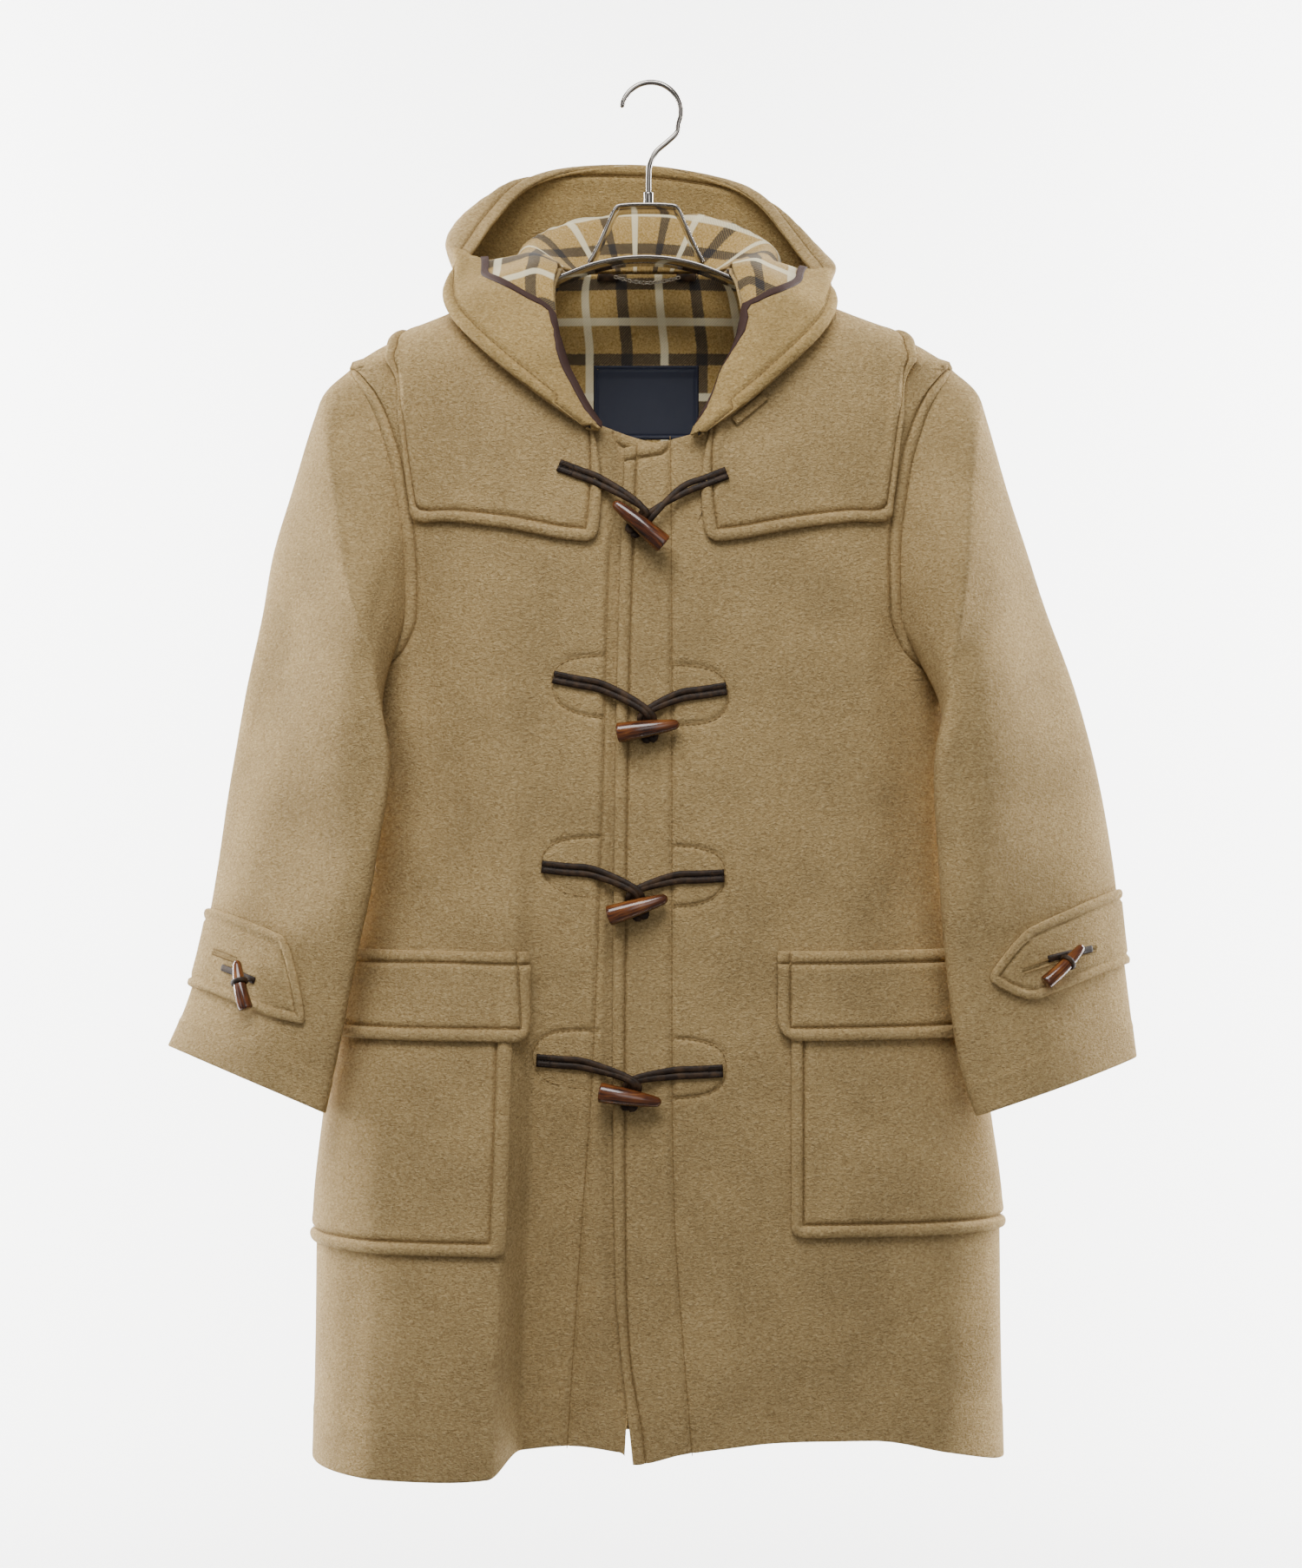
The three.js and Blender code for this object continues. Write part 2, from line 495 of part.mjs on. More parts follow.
// Hood, dropped behind the neck: open strips over the fronts and shoulders, and a pouch behind.
// A row goes from the neck seam over a fold and down to a low place, then up to the top and in to the brim.
// Turn is as for the yoke, and bow is how far the pouch stands out behind.
const HOOD = [
  { turn: 83.5, fx: -41, fy: -78, fz: -288, lx: -45, ly: -79, lz: -287,
    tx: -49, ty: -80, tz: -285, bx: -54, by: -80, bz: -284, bow: 0 },
  { turn: 79, fx: -66, fy: -70, fz: -247, lx: -77, ly: -73, lz: -249,
    tx: -86, ty: -76, tz: -252, bx: -94, by: -78, bz: -255, bow: 0 },
  { turn: 72, fx: -82, fy: -58, fz: -200, lx: -99, ly: -66, lz: -207,
    tx: -115, ty: -67, tz: -216, bx: -128, by: -68, bz: -227, bow: 0 },
  { turn: 52, fx: -91, fy: -38, fz: -160, lx: -116, ly: -44, lz: -168,
    tx: -140, ty: -47, tz: -182, bx: -157, by: -48, bz: -196, bow: 0 },
  { turn: 25, fx: -93, fy: -16, fz: -143, lx: -119, ly: -17, lz: -151,
    tx: -147, ty: -20, tz: -161, bx: -166, by: -24, bz: -172, bow: 0 },
  { turn: 0, fx: -98, fy: 8, fz: -133, lx: -125, ly: 14, lz: -145,
    tx: -150, ty: 6, tz: -141, bx: -163, by: 0, bz: -140, bow: 2 },
  { turn: -22, fx: -101, fy: 34, fz: -122, lx: -134, ly: 70, lz: -215,
    tx: -166, ty: 34, tz: -128, bx: -163, by: 26, bz: -108, bow: 14 },
  { turn: -44, fx: -86, fy: 54, fz: -108, lx: -124, ly: 98, lz: -290,
    tx: -160, ty: 66, tz: -90, bx: -150, by: 60, bz: -74, bow: 22 },
  { turn: -62, fx: -62, fy: 64, fz: -97, lx: -92, ly: 108, lz: -340,
    tx: -122, ty: 92, tz: -66, bx: -114, by: 86, bz: -52, bow: 24 },
  { turn: -77, fx: -33, fy: 67, fz: -91, lx: -48, ly: 112, lz: -366,
    tx: -67, ty: 108, tz: -58, bx: -62, by: 103, bz: -45, bow: 24 },
  { turn: -90, fx: 0, fy: 68, fz: -90, lx: 0, ly: 114, lz: -372,
    tx: 0, ty: 112, tz: -55, bx: 0, by: 107, bz: -43, bow: 24 },
  { turn: -103, fx: 35, fy: 67, fz: -92, lx: 48, ly: 112, lz: -366,
    tx: 65, ty: 107, tz: -68, bx: 60, by: 101, bz: -55, bow: 24 },
  { turn: -118, fx: 62, fy: 63, fz: -98, lx: 88, ly: 108, lz: -340,
    tx: 100, ty: 88, tz: -83, bx: 93, by: 81, bz: -69, bow: 24 },
  { turn: -136, fx: 86, fy: 52, fz: -112, lx: 112, ly: 98, lz: -290,
    tx: 130, ty: 62, tz: -110, bx: 122, by: 54, bz: -94, bow: 20 },
  { turn: -158, fx: 99, fy: 34, fz: -126, lx: 126, ly: 74, lz: -215,
    tx: 150, ty: 34, tz: -140, bx: 143, by: 27, bz: -122, bow: 12 },
  { turn: -180, fx: 90, fy: 6, fz: -137, lx: 115, ly: 12, lz: -151,
    tx: 138, ty: 4, tz: -150, bx: 150, by: -3, bz: -150, bow: 2 },
  { turn: -205, fx: 83, fy: -16, fz: -145, lx: 105, ly: -18, lz: -155,
    tx: 131, ty: -24, tz: -168, bx: 148, by: -29, bz: -182, bow: 0 },
  { turn: -232, fx: 79, fy: -38, fz: -162, lx: 98, ly: -48, lz: -172,
    tx: 121, ty: -54, tz: -190, bx: 137, by: -57, bz: -206, bow: 0 },
  { turn: -252, fx: 74, fy: -58, fz: -202, lx: 88, ly: -66, lz: -210,
    tx: 99, ty: -69, tz: -222, bx: 110, by: -71, bz: -235, bow: 0 },
  { turn: -259, fx: 56, fy: -71, fz: -251, lx: 64, ly: -74, lz: -254,
    tx: 72, ty: -77, tz: -258, bx: 79, by: -79, bz: -263, bow: 0 },
  { turn: -263.5, fx: 33, fy: -78, fz: -293, lx: 36, ly: -79, lz: -292,
    tx: 39, ty: -80, tz: -290, bx: 43, by: -80, bz: -289, bow: 0 },
];
const FACING_WIDTH = 75;
const BINDING_WIDTH = 4.8;
const HOOD_FINE = [1, 2, 3, 4, 5, 6, 13, 14, 15, 16, 17, 18]; // rows with one more between them and the next
const HOOD_SHARES = [0, 0.035, 0.07, 0.11, 0.18, 0.31, 0.44, 0.52, 0.57, 0.62, 0.7, 0.84, 1];
const FACING_SHARES = [1, 0.7, 0.5, 0.4, 0.31, 0.2, 0];

function neckEdge(turn) {
  const at = (t) => {
    const side = t < -90 ? 1 : -1;
    const local = side > 0 ? -180 - t : t;
    const z = neckHeight(local, side);
    return { point: bodyPoint(t * RAD, z), normal: bodyNormal(t * RAD, z) };
  };
  const along = at(turn - 0.5).point.sub(at(turn + 0.5).point).normalize();
  return { ...at(turn), along, away: new THREE.Vector3(0, 0, 1) };
}
function hoodSection(row) {
  const point = (key) => new THREE.Vector3(row[`${key}x`], row[`${key}y`], row[`${key}z`]);
  const [fold, low, top, brim] = ['f', 'l', 't', 'b'].map(point);
  const edge = neckEdge(row.turn);
  const start = seamStart(edge, fold.clone().sub(edge.point), 2.6 * SEAM_CLEARANCE);
  const near = fold.clone().lerp(low, 0.5);
  const far = low.clone().lerp(top, 0.5);
  const lowIn = low.clone().lerp(near, 0.2);
  const lowOut = low.clone().lerp(far, 0.2);
  near.y += row.bow * 0.15;
  lowIn.y -= row.bow * 0.1;
  lowOut.y += row.bow * 0.45;
  far.y += row.bow * 0.8;
  const rollIn = top.clone().lerp(far, 0.16);
  const rollOut = top.clone().lerp(brim, 0.4);
  const stops = [start, fold, near, lowIn, lowOut, far, rollIn, rollOut, brim];
  return new THREE.CatmullRomCurve3(stops, false, 'centripetal');
}
function hoodGrid() {
  const places = HOOD.flatMap((row, k) => (HOOD_FINE.includes(k) ? [k, k + 0.5] : [k]));
  return places.map((place) => {
    const row = tableRow(HOOD, place);
    const section = hoodSection(row);
    section.arcLengthDivisions = 80;
    const length = section.getLength();
    const facing = Math.min(FACING_WIDTH, row.bow > 0 ? 32 + 2 * row.bow : 0.52 * length);
    const cut = length - facing - BINDING_WIDTH;
    const arcs = [...HOOD_SHARES.map((share) => cut * share), ...FACING_SHARES.map((share) => length - facing * share)];
    return arcs.map((arc) => section.getPointAt(clamp(arc / length, 0, 1)));
  });
}
const hoodPoints = hoodGrid();
const hoodNormals = gridNormals(hoodPoints, false);
piece('hood', clothWall(hoodPoints, hoodNormals, CLOTH), CAMEL);

// Strips on the hood's inner side, between two of its columns.
function onHood(first, last, thickness, trim) {
  const lastOfAll = hoodPoints[0].length - 1;
  const inward = (column) => -(CLOTH / 2 + (column === lastOfAll ? GAP : 2 * LAY) + thickness / 2);
  const points = hoodPoints.map((row, i) => {
    const strip = row.slice(first, last + 1).map((p, j) => (
      p.clone().addScaledVector(hoodNormals[i][first + j], inward(first + j))));
    strip[0].lerp(strip[1], trim / strip[0].distanceTo(strip[1]));
    return strip;
  });
  const cut = (rows) => rows.map((row) => row.slice(first, last + 1));
  return clothWall(points, cut(hoodNormals), thickness, false, cut(hoodPoints));
}
const BINDING_COLUMN = HOOD_SHARES.length - 1;
const LAST_COLUMN = HOOD_SHARES.length + FACING_SHARES.length - 1;
piece('hood_facing', onHood(BINDING_COLUMN + 1, LAST_COLUMN, FACING_CLOTH, 1.6 * LAY), '#bda57c');
piece('hood_binding', onHood(BINDING_COLUMN, BINDING_COLUMN + 1, FACING_CLOTH + 0.4, GAP), BINDING);

// Patch pockets and their flaps, from beside the side seam to an inner edge.
// The left ones end on the long fold, so they have columns where its step bends.
function foldPlaces(last) {
  return (z) => [-22, -10, 0].filter((place) => place <= last).map((place) => edgeAt('step', z) + place);
}
const POCKETS = [
  { name: 'left', side: -1, top: -712, bottom: -927, inner: foldPlaces(-10), flapInner: foldPlaces(0) },
  { name: 'right', side: 1, top: -712, bottom: -918, inner: () => [109], flapInner: () => [98] },
];
const FLAP_TOP = -694;
const FLAP_BOTTOM = -764;
const POCKET_SIDE = 5;        // degrees round from the side seam
const POCKET_ROWS = 9;
function patch(pocket, heights, inner, lift) {
  const start = POCKET_SIDE * RAD;
  const rows = heights.map((z) => {
    const across = (x) => (pocket.side < 0 ? frontAngle(x, z) : Math.PI - frontAngle(x, z));
    const shares = [0, 0.1, 0.2, 0.3, 0.42, 0.54, 0.66, 0.78, 0.89, 1];
    const edges = inner(z).map(across);
    const angles = [...shares.map((share) => between(start, edges[0], share)), ...edges.slice(1)];
    const cells = angles.map((angle) => {
      const turned = pocket.side < 0 ? angle : Math.PI - angle;
      return { point: lifted(turned, z, lift(z)), normal: bodyNormal(turned, z) };
    });
    return pocket.side < 0 ? cells : cells.reverse();
  });
  return clothWall(rows.map((r) => r.map((c) => c.point)), rows.map((r) => r.map((c) => c.normal)), CLOTH);
}
for (const pocket of POCKETS) {
  const heights = Array.from({ length: POCKET_ROWS }, (_, k) => (
    between(pocket.bottom, pocket.top, k / (POCKET_ROWS - 1))));
  piece(`pocket_${pocket.name}`, patch(pocket, heights, pocket.inner, () => CLOTH + LAY), CAMEL);
  const onPocket = 2 * (CLOTH + LAY) - 0.3;
  const flapLift = (z) => between(CLOTH + 2 * LAY, onPocket, ease((FLAP_TOP - z) / 14));
  const flapHeights = [FLAP_BOTTOM, FLAP_BOTTOM + 18, FLAP_BOTTOM + 36, FLAP_TOP - 14, FLAP_TOP - 7, FLAP_TOP];
  piece(`flap_${pocket.name}`, patch(pocket, flapHeights, pocket.flapInner, flapLift), CAMEL);
}

// A flat strap on the front between two places, widening or narrowing along its length.
function frontStrap(stops, thickness) {
  const rows = stops.map((stop, i) => {
    const a = stops[Math.max(i - 1, 0)];
    const b = stops[Math.min(i + 1, stops.length - 1)];
    const along = new THREE.Vector2(b.x - a.x, b.z - a.z).normalize();
    return [-0.5, 0.5].map((side) => {
      const x = stop.x + along.y * side * stop.width;
      const z = stop.z - along.x * side * stop.width;
      return { point: onFront(x, z, stop.lift), normal: bodyNormal(frontAngle(x, z), z) };
    });
  });
  return clothWall(rows.map((r) => r.map((c) => c.point)), rows.map((r) => r.map((c) => c.normal)), thickness);
}

// Front fastenings. Each row: outer ends of the loop tab and toggle tab, their inner ends, the toggle's ends,
// what the tabs lie on, and how far the toggle sinks to rest on its loop.
const FASTENINGS = [
  { loopX: -71, loopZ: -315, loopInX: -41, loopInZ: -327, tabX: 59, tabZ: -321, tabInX: 26, tabInZ: -334,
    tipX: -29, tipZ: -345, baseX: 10, baseZ: -378, lift: YOKE_LIFT, sink: 2 },
  { loopX: -76, loopZ: -480, loopInX: -38, loopInZ: -488, tabX: 59, tabZ: -489, tabInX: 22, tabInZ: -495,
    tipX: 22, tipZ: -517, baseX: -26, baseZ: -524, lift: 0, sink: 2.75 },
  { loopX: -85, loopZ: -628, loopInX: -46, loopInZ: -632, tabX: 57, tabZ: -635, tabInX: 18, tabInZ: -637,
    tipX: 13, tipZ: -652, baseX: -33, baseZ: -666, lift: 0, sink: 1.75 },
  { loopX: -90, loopZ: -779, loopInX: -52, loopInZ: -782, tabX: 56, tabZ: -787, tabInX: 16, tabInZ: -789,
    tipX: 8, tipZ: -811, baseX: -39, baseZ: -803, lift: 0, sink: 0 },
];
const LEATHER_THICK = 2.6;
const TAB_WIDTH = 10;
const LACE_WIDTH = 6;
const TOGGLE_TIP = 3;
const TOGGLE_BASE = 7.8;
const TOGGLE_LIFT = CLOTH / 2 + LAY + LEATHER_THICK + GAP + 5.8;

function toggleBody(length, tipRadius, baseRadius) {
  const profile = [
    new THREE.Vector2(0, 0),
    new THREE.Vector2(tipRadius * 0.75, 0.6),
    new THREE.Vector2(tipRadius, 3),
    new THREE.Vector2(between(tipRadius, baseRadius, 0.55), length * 0.45),
    new THREE.Vector2(baseRadius * 0.97, length * 0.8),
    new THREE.Vector2(baseRadius, length - 3),
    new THREE.Vector2(baseRadius * 0.8, length),
    new THREE.Vector2(0, length),
  ];
  return new THREE.LatheGeometry(profile, 10);
}
function placedToggle(name, tip, base, tipRadius, baseRadius) {
  const axis = base.clone().sub(tip);
  const mesh = piece(name, toggleBody(axis.length(), tipRadius, baseRadius), HORN, 0.3);
  mesh.position.copy(tip);
  mesh.quaternion.setFromUnitVectors(new THREE.Vector3(0, 1, 0), axis.normalize());
}

// The end of the throat tab, which shows under the hood's right edge.
const THROAT_TAB = [{ x: 89, z: -260.5 }, { x: 77.5, z: -270.5 }, { x: 64.5, z: -281 }];
const throatStops = THROAT_TAB.map((stop) => ({ ...stop, width: 6, lift: YOKE_LIFT + CLOTH + 0.5 }));
piece('throat_tab', frontStrap(throatStops, CLOTH), CAMEL);

FASTENINGS.forEach((f, i) => {
  const cloth = CLOTH / 2 + LAY + LEATHER_THICK / 2 + f.lift;
  const middleX = (f.tipX + f.baseX) / 2;
  const middleZ = (f.tipZ + f.baseZ) / 2;
  const tab = (x, z, inX, inZ, reach) => [
    { x, z, width: TAB_WIDTH, lift: cloth },
    { x: between(x, inX, 0.5), z: between(z, inZ, 0.5), width: TAB_WIDTH, lift: cloth },
    { x: inX, z: inZ, width: LACE_WIDTH, lift: cloth },
    { x: between(inX, middleX, reach), z: between(inZ, middleZ, reach), width: LACE_WIDTH, lift: cloth },
  ];
  const reach = 0.72;
  piece(`loop_tab_${i + 1}`, frontStrap(tab(f.loopX, f.loopZ, f.loopInX, f.loopInZ, reach), LEATHER_THICK), LEATHER, 0.6);
  piece(`toggle_tab_${i + 1}`, frontStrap(tab(f.tabX, f.tabZ, f.tabInX, f.tabInZ, reach), LEATHER_THICK), LEATHER, 0.6);
  const tip = onFront(f.tipX, f.tipZ, TOGGLE_LIFT + f.lift - f.sink);
  const base = onFront(f.baseX, f.baseZ, TOGGLE_LIFT + f.lift + 1.5 - f.sink);
  placedToggle(`toggle_${i + 1}`, tip, base, TOGGLE_TIP, TOGGLE_BASE);
});

// Straps on the sleeves, in steps down the sleeve and degrees round it from the outer rail to the front.
const LACE_THICK = 2;
const CUFF_TOGGLE_BASE = 5.6;
const CUFF_STRAPS = [
  { name: 'left', side: -1, table: LEFT_SLEEVE, tip: 97, start: -36,
    upper: 6.55, lower: 7.75, tipAt: 7.6,
    loop: [[7.3, 28], [7.3, 42], [7.3, 56]], toggleTip: [7.1, 43], toggleBase: [7.76, 60], sink: 0.8 },
  { name: 'right', side: 1, table: RIGHT_SLEEVE, tip: 106, start: -36,
    upper: 6.35, lower: 7.35, tipAt: 6.75,
    loop: [[6.93, 38], [6.88, 53], [6.83, 68]], toggleTip: [6.82, 48], toggleBase: [7.12, 74], sink: 0.4 },
];
function sleeveNormal(side, table, at, around) {
  const round = sleevePoint(table, at, around + 0.02).sub(sleevePoint(table, at, around - 0.02));
  const down = sleevePoint(table, at + 0.03, around).sub(sleevePoint(table, at - 0.03, around));
  return down.cross(round).multiplyScalar(-side).normalize();
}
function cuffStrap(strap) {
  const { side, table } = strap;
  const rounds = [strap.start, -18, 0, 18, 36, 54, 72, 90, strap.tip];
  const rows = rounds.map((around, i) => {
    const last = i === rounds.length - 1;
    const narrowing = i === rounds.length - 2 ? 0.7 : 0;
    const upper = last ? strap.tipAt - 0.06 : between(strap.upper, strap.tipAt, narrowing);
    const lower = last ? strap.tipAt + 0.06 : between(strap.lower, strap.tipAt, narrowing);
    return [0, 0.33, 0.67, 1].map((share) => {
      const at = between(upper, lower, share);
      const normal = sleeveNormal(side, table, at, around * RAD);
      return { point: sleevePoint(table, at, around * RAD).addScaledVector(normal, CLOTH + LAY), normal };
    });
  });
  if (side > 0) rows.reverse();
  return clothWall(rows.map((r) => r.map((c) => c.point)), rows.map((r) => r.map((c) => c.normal)), CLOTH);
}
for (const strap of CUFF_STRAPS) piece(`cuff_strap_${strap.name}`, cuffStrap(strap), CAMEL);

// A place on a cuff strap, lifted off the strap's outer face.
function onStrap(strap, at, around, lift) {
  const normal = sleeveNormal(strap.side, strap.table, at, around * RAD);
  const point = sleevePoint(strap.table, at, around * RAD).addScaledVector(normal, 1.5 * CLOTH + LAY + lift);
  return { point, normal };
}
// Each cuff strap's leather loop runs from the buttonhole round the toggle's waist.
for (const strap of CUFF_STRAPS) {
  const stops = strap.loop.map(([at, around]) => onStrap(strap, at, around, LACE_THICK / 2 + GAP));
  if (strap.side > 0) stops.reverse();
  const along = stops[stops.length - 1].point.clone().sub(stops[0].point).normalize();
  const rows = stops.map((stop) => {
    const across = new THREE.Vector3().crossVectors(along, stop.normal).normalize();
    return [-0.5, 0.5].map((share) => ({
      point: stop.point.clone().addScaledVector(across, share * LACE_WIDTH), normal: stop.normal }));
  });
  const lace = clothWall(rows.map((r) => r.map((c) => c.point)), rows.map((r) => r.map((c) => c.normal)), LACE_THICK);
  piece(`cuff_loop_${strap.name}`, lace, LEATHER, 0.6);
  const seat = LACE_THICK + 1.2 * GAP + CUFF_TOGGLE_BASE - strap.sink;
  const tip = onStrap(strap, strap.toggleTip[0], strap.toggleTip[1], seat - 1).point;
  const base = onStrap(strap, strap.toggleBase[0], strap.toggleBase[1], seat + 0.4).point;
  placedToggle(`cuff_toggle_${strap.name}`, tip, base, TOGGLE_TIP, CUFF_TOGGLE_BASE);
}

// Hanger: a wire hook, a ferrule, a bent bracket and a broad shoulder bar.
const HANGER_MIDDLE = -5;
const BAR_DEPTH = 40;
const BAR_THICK = 2.5;
const BAR = [
  { out: 0, z: -140 }, { out: 22, z: -141.5 }, { out: 42,
    z: -146 }, { out: 54, z: -150.5 }, { out: 66, z: -155.4 },
  { out: 84, z: -163.4 }, { out: 107, z: -174.3 }, { out: 149,
    z: -193.4 }, { out: 176, z: -204.8 }, { out: 192, z: -212 },
];
const HOOK_CENTRE = HOOK_RADIUS - HOOK_WIRE / 2;
function hook() {
  const turn = (degrees) => new THREE.Vector3(
    HOOK_RADIUS * Math.cos(degrees * RAD), 0, HOOK_RADIUS * Math.sin(degrees * RAD) - HOOK_CENTRE);
  const round = Array.from({ length: 15 }, (_, k) => turn(172 - k * 14));
  const neck = [[21, -38], [13, -46], [4, -54], [-1, -64], [-2, -76], [-2, -86.5]];
  const path = new THREE.CatmullRomCurve3([...round, ...neck.map(([x, z]) => new THREE.Vector3(x, 0, z))]);
  const wire = new THREE.Shape().absarc(0, 0, HOOK_WIRE / 2, 0, 2 * Math.PI);
  return new THREE.ExtrudeGeometry(wire, { steps: 32, curveSegments: 4, extrudePath: path });
}
// A band of metal: an outline across, given by its upper line, carried through the hanger's depth.
function band(line, thickness, depth) {
  const offset = line.map((p, i) => {
    const a = line[Math.max(i - 1, 0)];
    const b = line[Math.min(i + 1, line.length - 1)];
    const across = new THREE.Vector2(-(b.y - a.y), b.x - a.x).normalize();
    return p.clone().addScaledVector(across, -thickness);
  });
  const shape = new THREE.Shape([...line, ...offset.reverse()]);
  const geometry = new THREE.ExtrudeGeometry(shape, { depth, bevelEnabled: false });
  geometry.translate(0, 0, -depth / 2);
  geometry.rotateX(Math.PI / 2);
  return geometry;
}
const barLine = [
  ...[...BAR].reverse().map((p) => new THREE.Vector2(HANGER_MIDDLE - p.out, p.z)),
  ...BAR.slice(1).map((p) => new THREE.Vector2(HANGER_MIDDLE + p.out, p.z)),
];
const BRACKET = [[-51, -145.3], [-45, -136], [-33, -109], [-30, -102], [-25, -98.4], [18, -98.4], [23, -102],
  [26, -109], [38, -136], [43, -144.3]];
piece('hanger_hook', hook(), STEEL, 0.2, 1);
const ferrule = piece('hanger_ferrule', new THREE.CylinderGeometry(4, 4, 11.2, 14), STEEL, 0.3, 1);
ferrule.rotation.x = Math.PI / 2;
ferrule.position.set(-2, 0, -92.45);
const bracketLine = BRACKET.map(([x, z]) => new THREE.Vector2(x, z));
piece('hanger_bracket', band(bracketLine, 2.2, BAR_DEPTH - 2), STEEL, 0.35, 1);
piece('hanger_bar', band(barLine, BAR_THICK, BAR_DEPTH), STEEL, 0.35, 1);

// Inside the neck: a bare label, and the hanging chain with its two leather ends.
function insideBack(left, right, bottom, top, lift, columns, rows) {
  const cells = Array.from({ length: rows }, (_, i) => {
    const z = between(bottom, top, i / (rows - 1));
    return Array.from({ length: columns }, (_, j) => {
      const x = between(left, right, j / (columns - 1));
      const angle = 2 * Math.PI - frontAngle(x, z);
      return { point: lifted(angle, z, lift), normal: bodyNormal(angle, z) };
    }).reverse();
  });
  return [cells.map((r) => r.map((c) => c.point)), cells.map((r) => r.map((c) => c.normal))];
}
const insideLift = (thickness) => -(CLOTH / 2 + GAP + thickness / 2);
piece('neck_label', clothWall(...insideBack(-48, 40, -279, -217, insideLift(1.2) - 0.3, 9, 5), 1.2), LABEL);
piece('chain_end_left', clothWall(...insideBack(-45, -28, -150, -144, insideLift(2), 2, 2), 2), LEATHER, 0.6);
piece('chain_end_right', clothWall(...insideBack(22, 38, -150, -144, insideLift(2), 2, 2), 2), LEATHER, 0.6);
const CHAIN_WIRE = 3;
const chainPath = new THREE.CatmullRomCurve3([
  new THREE.Vector3(-26.4, 48.4, -147), new THREE.Vector3(-15, 50, -149.8), new THREE.Vector3(-3, 50.6, -151),
  new THREE.Vector3(10, 50, -149.8), new THREE.Vector3(20.5, 48.4, -147.4),
]);
const chainSection = new THREE.Shape().absarc(0, 0, CHAIN_WIRE / 2, 0, 2 * Math.PI);
piece('chain', new THREE.ExtrudeGeometry(chainSection, { steps: 10, curveSegments: 4, extrudePath: chainPath }), STEEL, 0.3, 1);

export default COAT;
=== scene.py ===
"""A camel duffle coat of heavy double-faced wool, on a polished steel hanger with its hood dropped back.
Lengths in the tables and in the shaping functions are millimetres; meshes are made in metres.
"""
import math

import bmesh
import bpy
import numpy as np
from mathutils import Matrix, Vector
from mathutils.kdtree import KDTree


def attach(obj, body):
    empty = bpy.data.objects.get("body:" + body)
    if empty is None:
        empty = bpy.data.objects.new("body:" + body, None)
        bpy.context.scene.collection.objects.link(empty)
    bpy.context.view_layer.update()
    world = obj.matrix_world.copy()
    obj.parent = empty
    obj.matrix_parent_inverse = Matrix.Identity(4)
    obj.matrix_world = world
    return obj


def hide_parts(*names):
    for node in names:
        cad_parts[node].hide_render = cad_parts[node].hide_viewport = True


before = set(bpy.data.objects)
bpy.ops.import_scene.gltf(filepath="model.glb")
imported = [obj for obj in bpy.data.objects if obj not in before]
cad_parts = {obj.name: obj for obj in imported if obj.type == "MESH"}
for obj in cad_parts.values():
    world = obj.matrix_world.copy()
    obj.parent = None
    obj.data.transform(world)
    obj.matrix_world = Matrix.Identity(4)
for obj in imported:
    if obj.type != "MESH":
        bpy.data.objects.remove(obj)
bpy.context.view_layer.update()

# Measures
CLOTH = 3.0          # one layer of the coating
LAY = 0.4            # air between a patch and the panel under it
UNDERLAP = 4.3       # how far the under front sinks below the over front
SECTION_POWER = 2.4  # roundness of the body's horizontal sections
YOKE_LIFT = 3.9      # middle of the yoke's cloth over the middle of the front's
STITCH_INSET = 10    # topstitching's distance from an edge
STITCH_PITCH = 4.4   # about 6 stitches to the inch
STITCH_SINK = 0.9    # middle of a thread below the cloth's face
STITCH_REACH = 3.2   # a thread further than this from its panel is left out
THICKEST = 5.5       # full thickness of a shell where its weight is one
FAR = 1e9            # more than any distance here
HEM_LEVEL = -1100    # where the soft folds are deepest
METRE = 0.001


def rows(columns, values):
    """A table as one array per named column."""
    return {name: np.array([row[k] for row in values], float) for k, name in enumerate(columns.split())}


BODY = rows("z half front back middle", [
    (-1130, 277, 80, 80, 6), (-1000, 274, 80, 78, 6), (-911, 273, 80, 76, 6), (-820, 263, 79, 73, 5),
    (-700, 246, 78, 70, 4), (-560, 233, 77, 68, 3), (-480, 233, 76, 66, 2), (-400, 236, 74, 66, 1),
    (-290, 240, 68, 65, 0), (-229, 240, 58, 63, 0), (-222, 230, 56, 62, 0), (-212, 213, 54, 61, 0),
    (-190, 158, 48, 59, -2), (-171, 114, 43, 57, -4), (-148, 66, 36, 56, -5), (-140, 58, 34, 56, -5),
])
ARMHOLE = rows("z front back", [
    (-481, 0, 0), (-480, 1, 1), (-474, 17, 14), (-456, 30, 24), (-428, 36, 28), (-380, 37, 30), (-316, 34, 28),
    (-281, 29, 24), (-253, 21, 17), (-235, 9, 8), (-229, 0, 0),
])
NECKLINE = rows("angle under over", [
    (0, -148, -148), (30, -154, -154), (52, -168, -168), (72, -203, -203), (79, -246, -246), (83, -281, -285),
    (86, -287, -291), (100, -314, -309),
])
FRONT_EDGE = rows("z over under step", [
    (-1130, -11, -22, -112), (-1090, -14, -21, -111), (-950, -28, -11, -106), (-780, -30, 2, -100),
    (-640, -29, 7, -98), (-450, -26, 9, -98), (-330, -22, 6, -98), (-280, -20, 3.5, -98),
])
HEM = rows("x z", [
    (-280, -1101), (-230, -1100), (-160, -1099), (-125, -1096), (-105, -1084), (-60, -1081), (-25, -1084),
    (-14, -1093), (30, -1084), (100, -1079), (175, -1079), (235, -1090), (285, -1104),
])
LONG_FOLD = rows("z depth", [
    (-1130, 52), (-950, 42), (-800, 27), (-680, 13), (-560, 3), (-480, 0),
])
SOFT_FOLDS = rows("x width depth from", [
    (135, 60, -9, -760), (225, 45, 6, -800), (20, 70, 7, -900), (-62, 30, -7, -620),
])
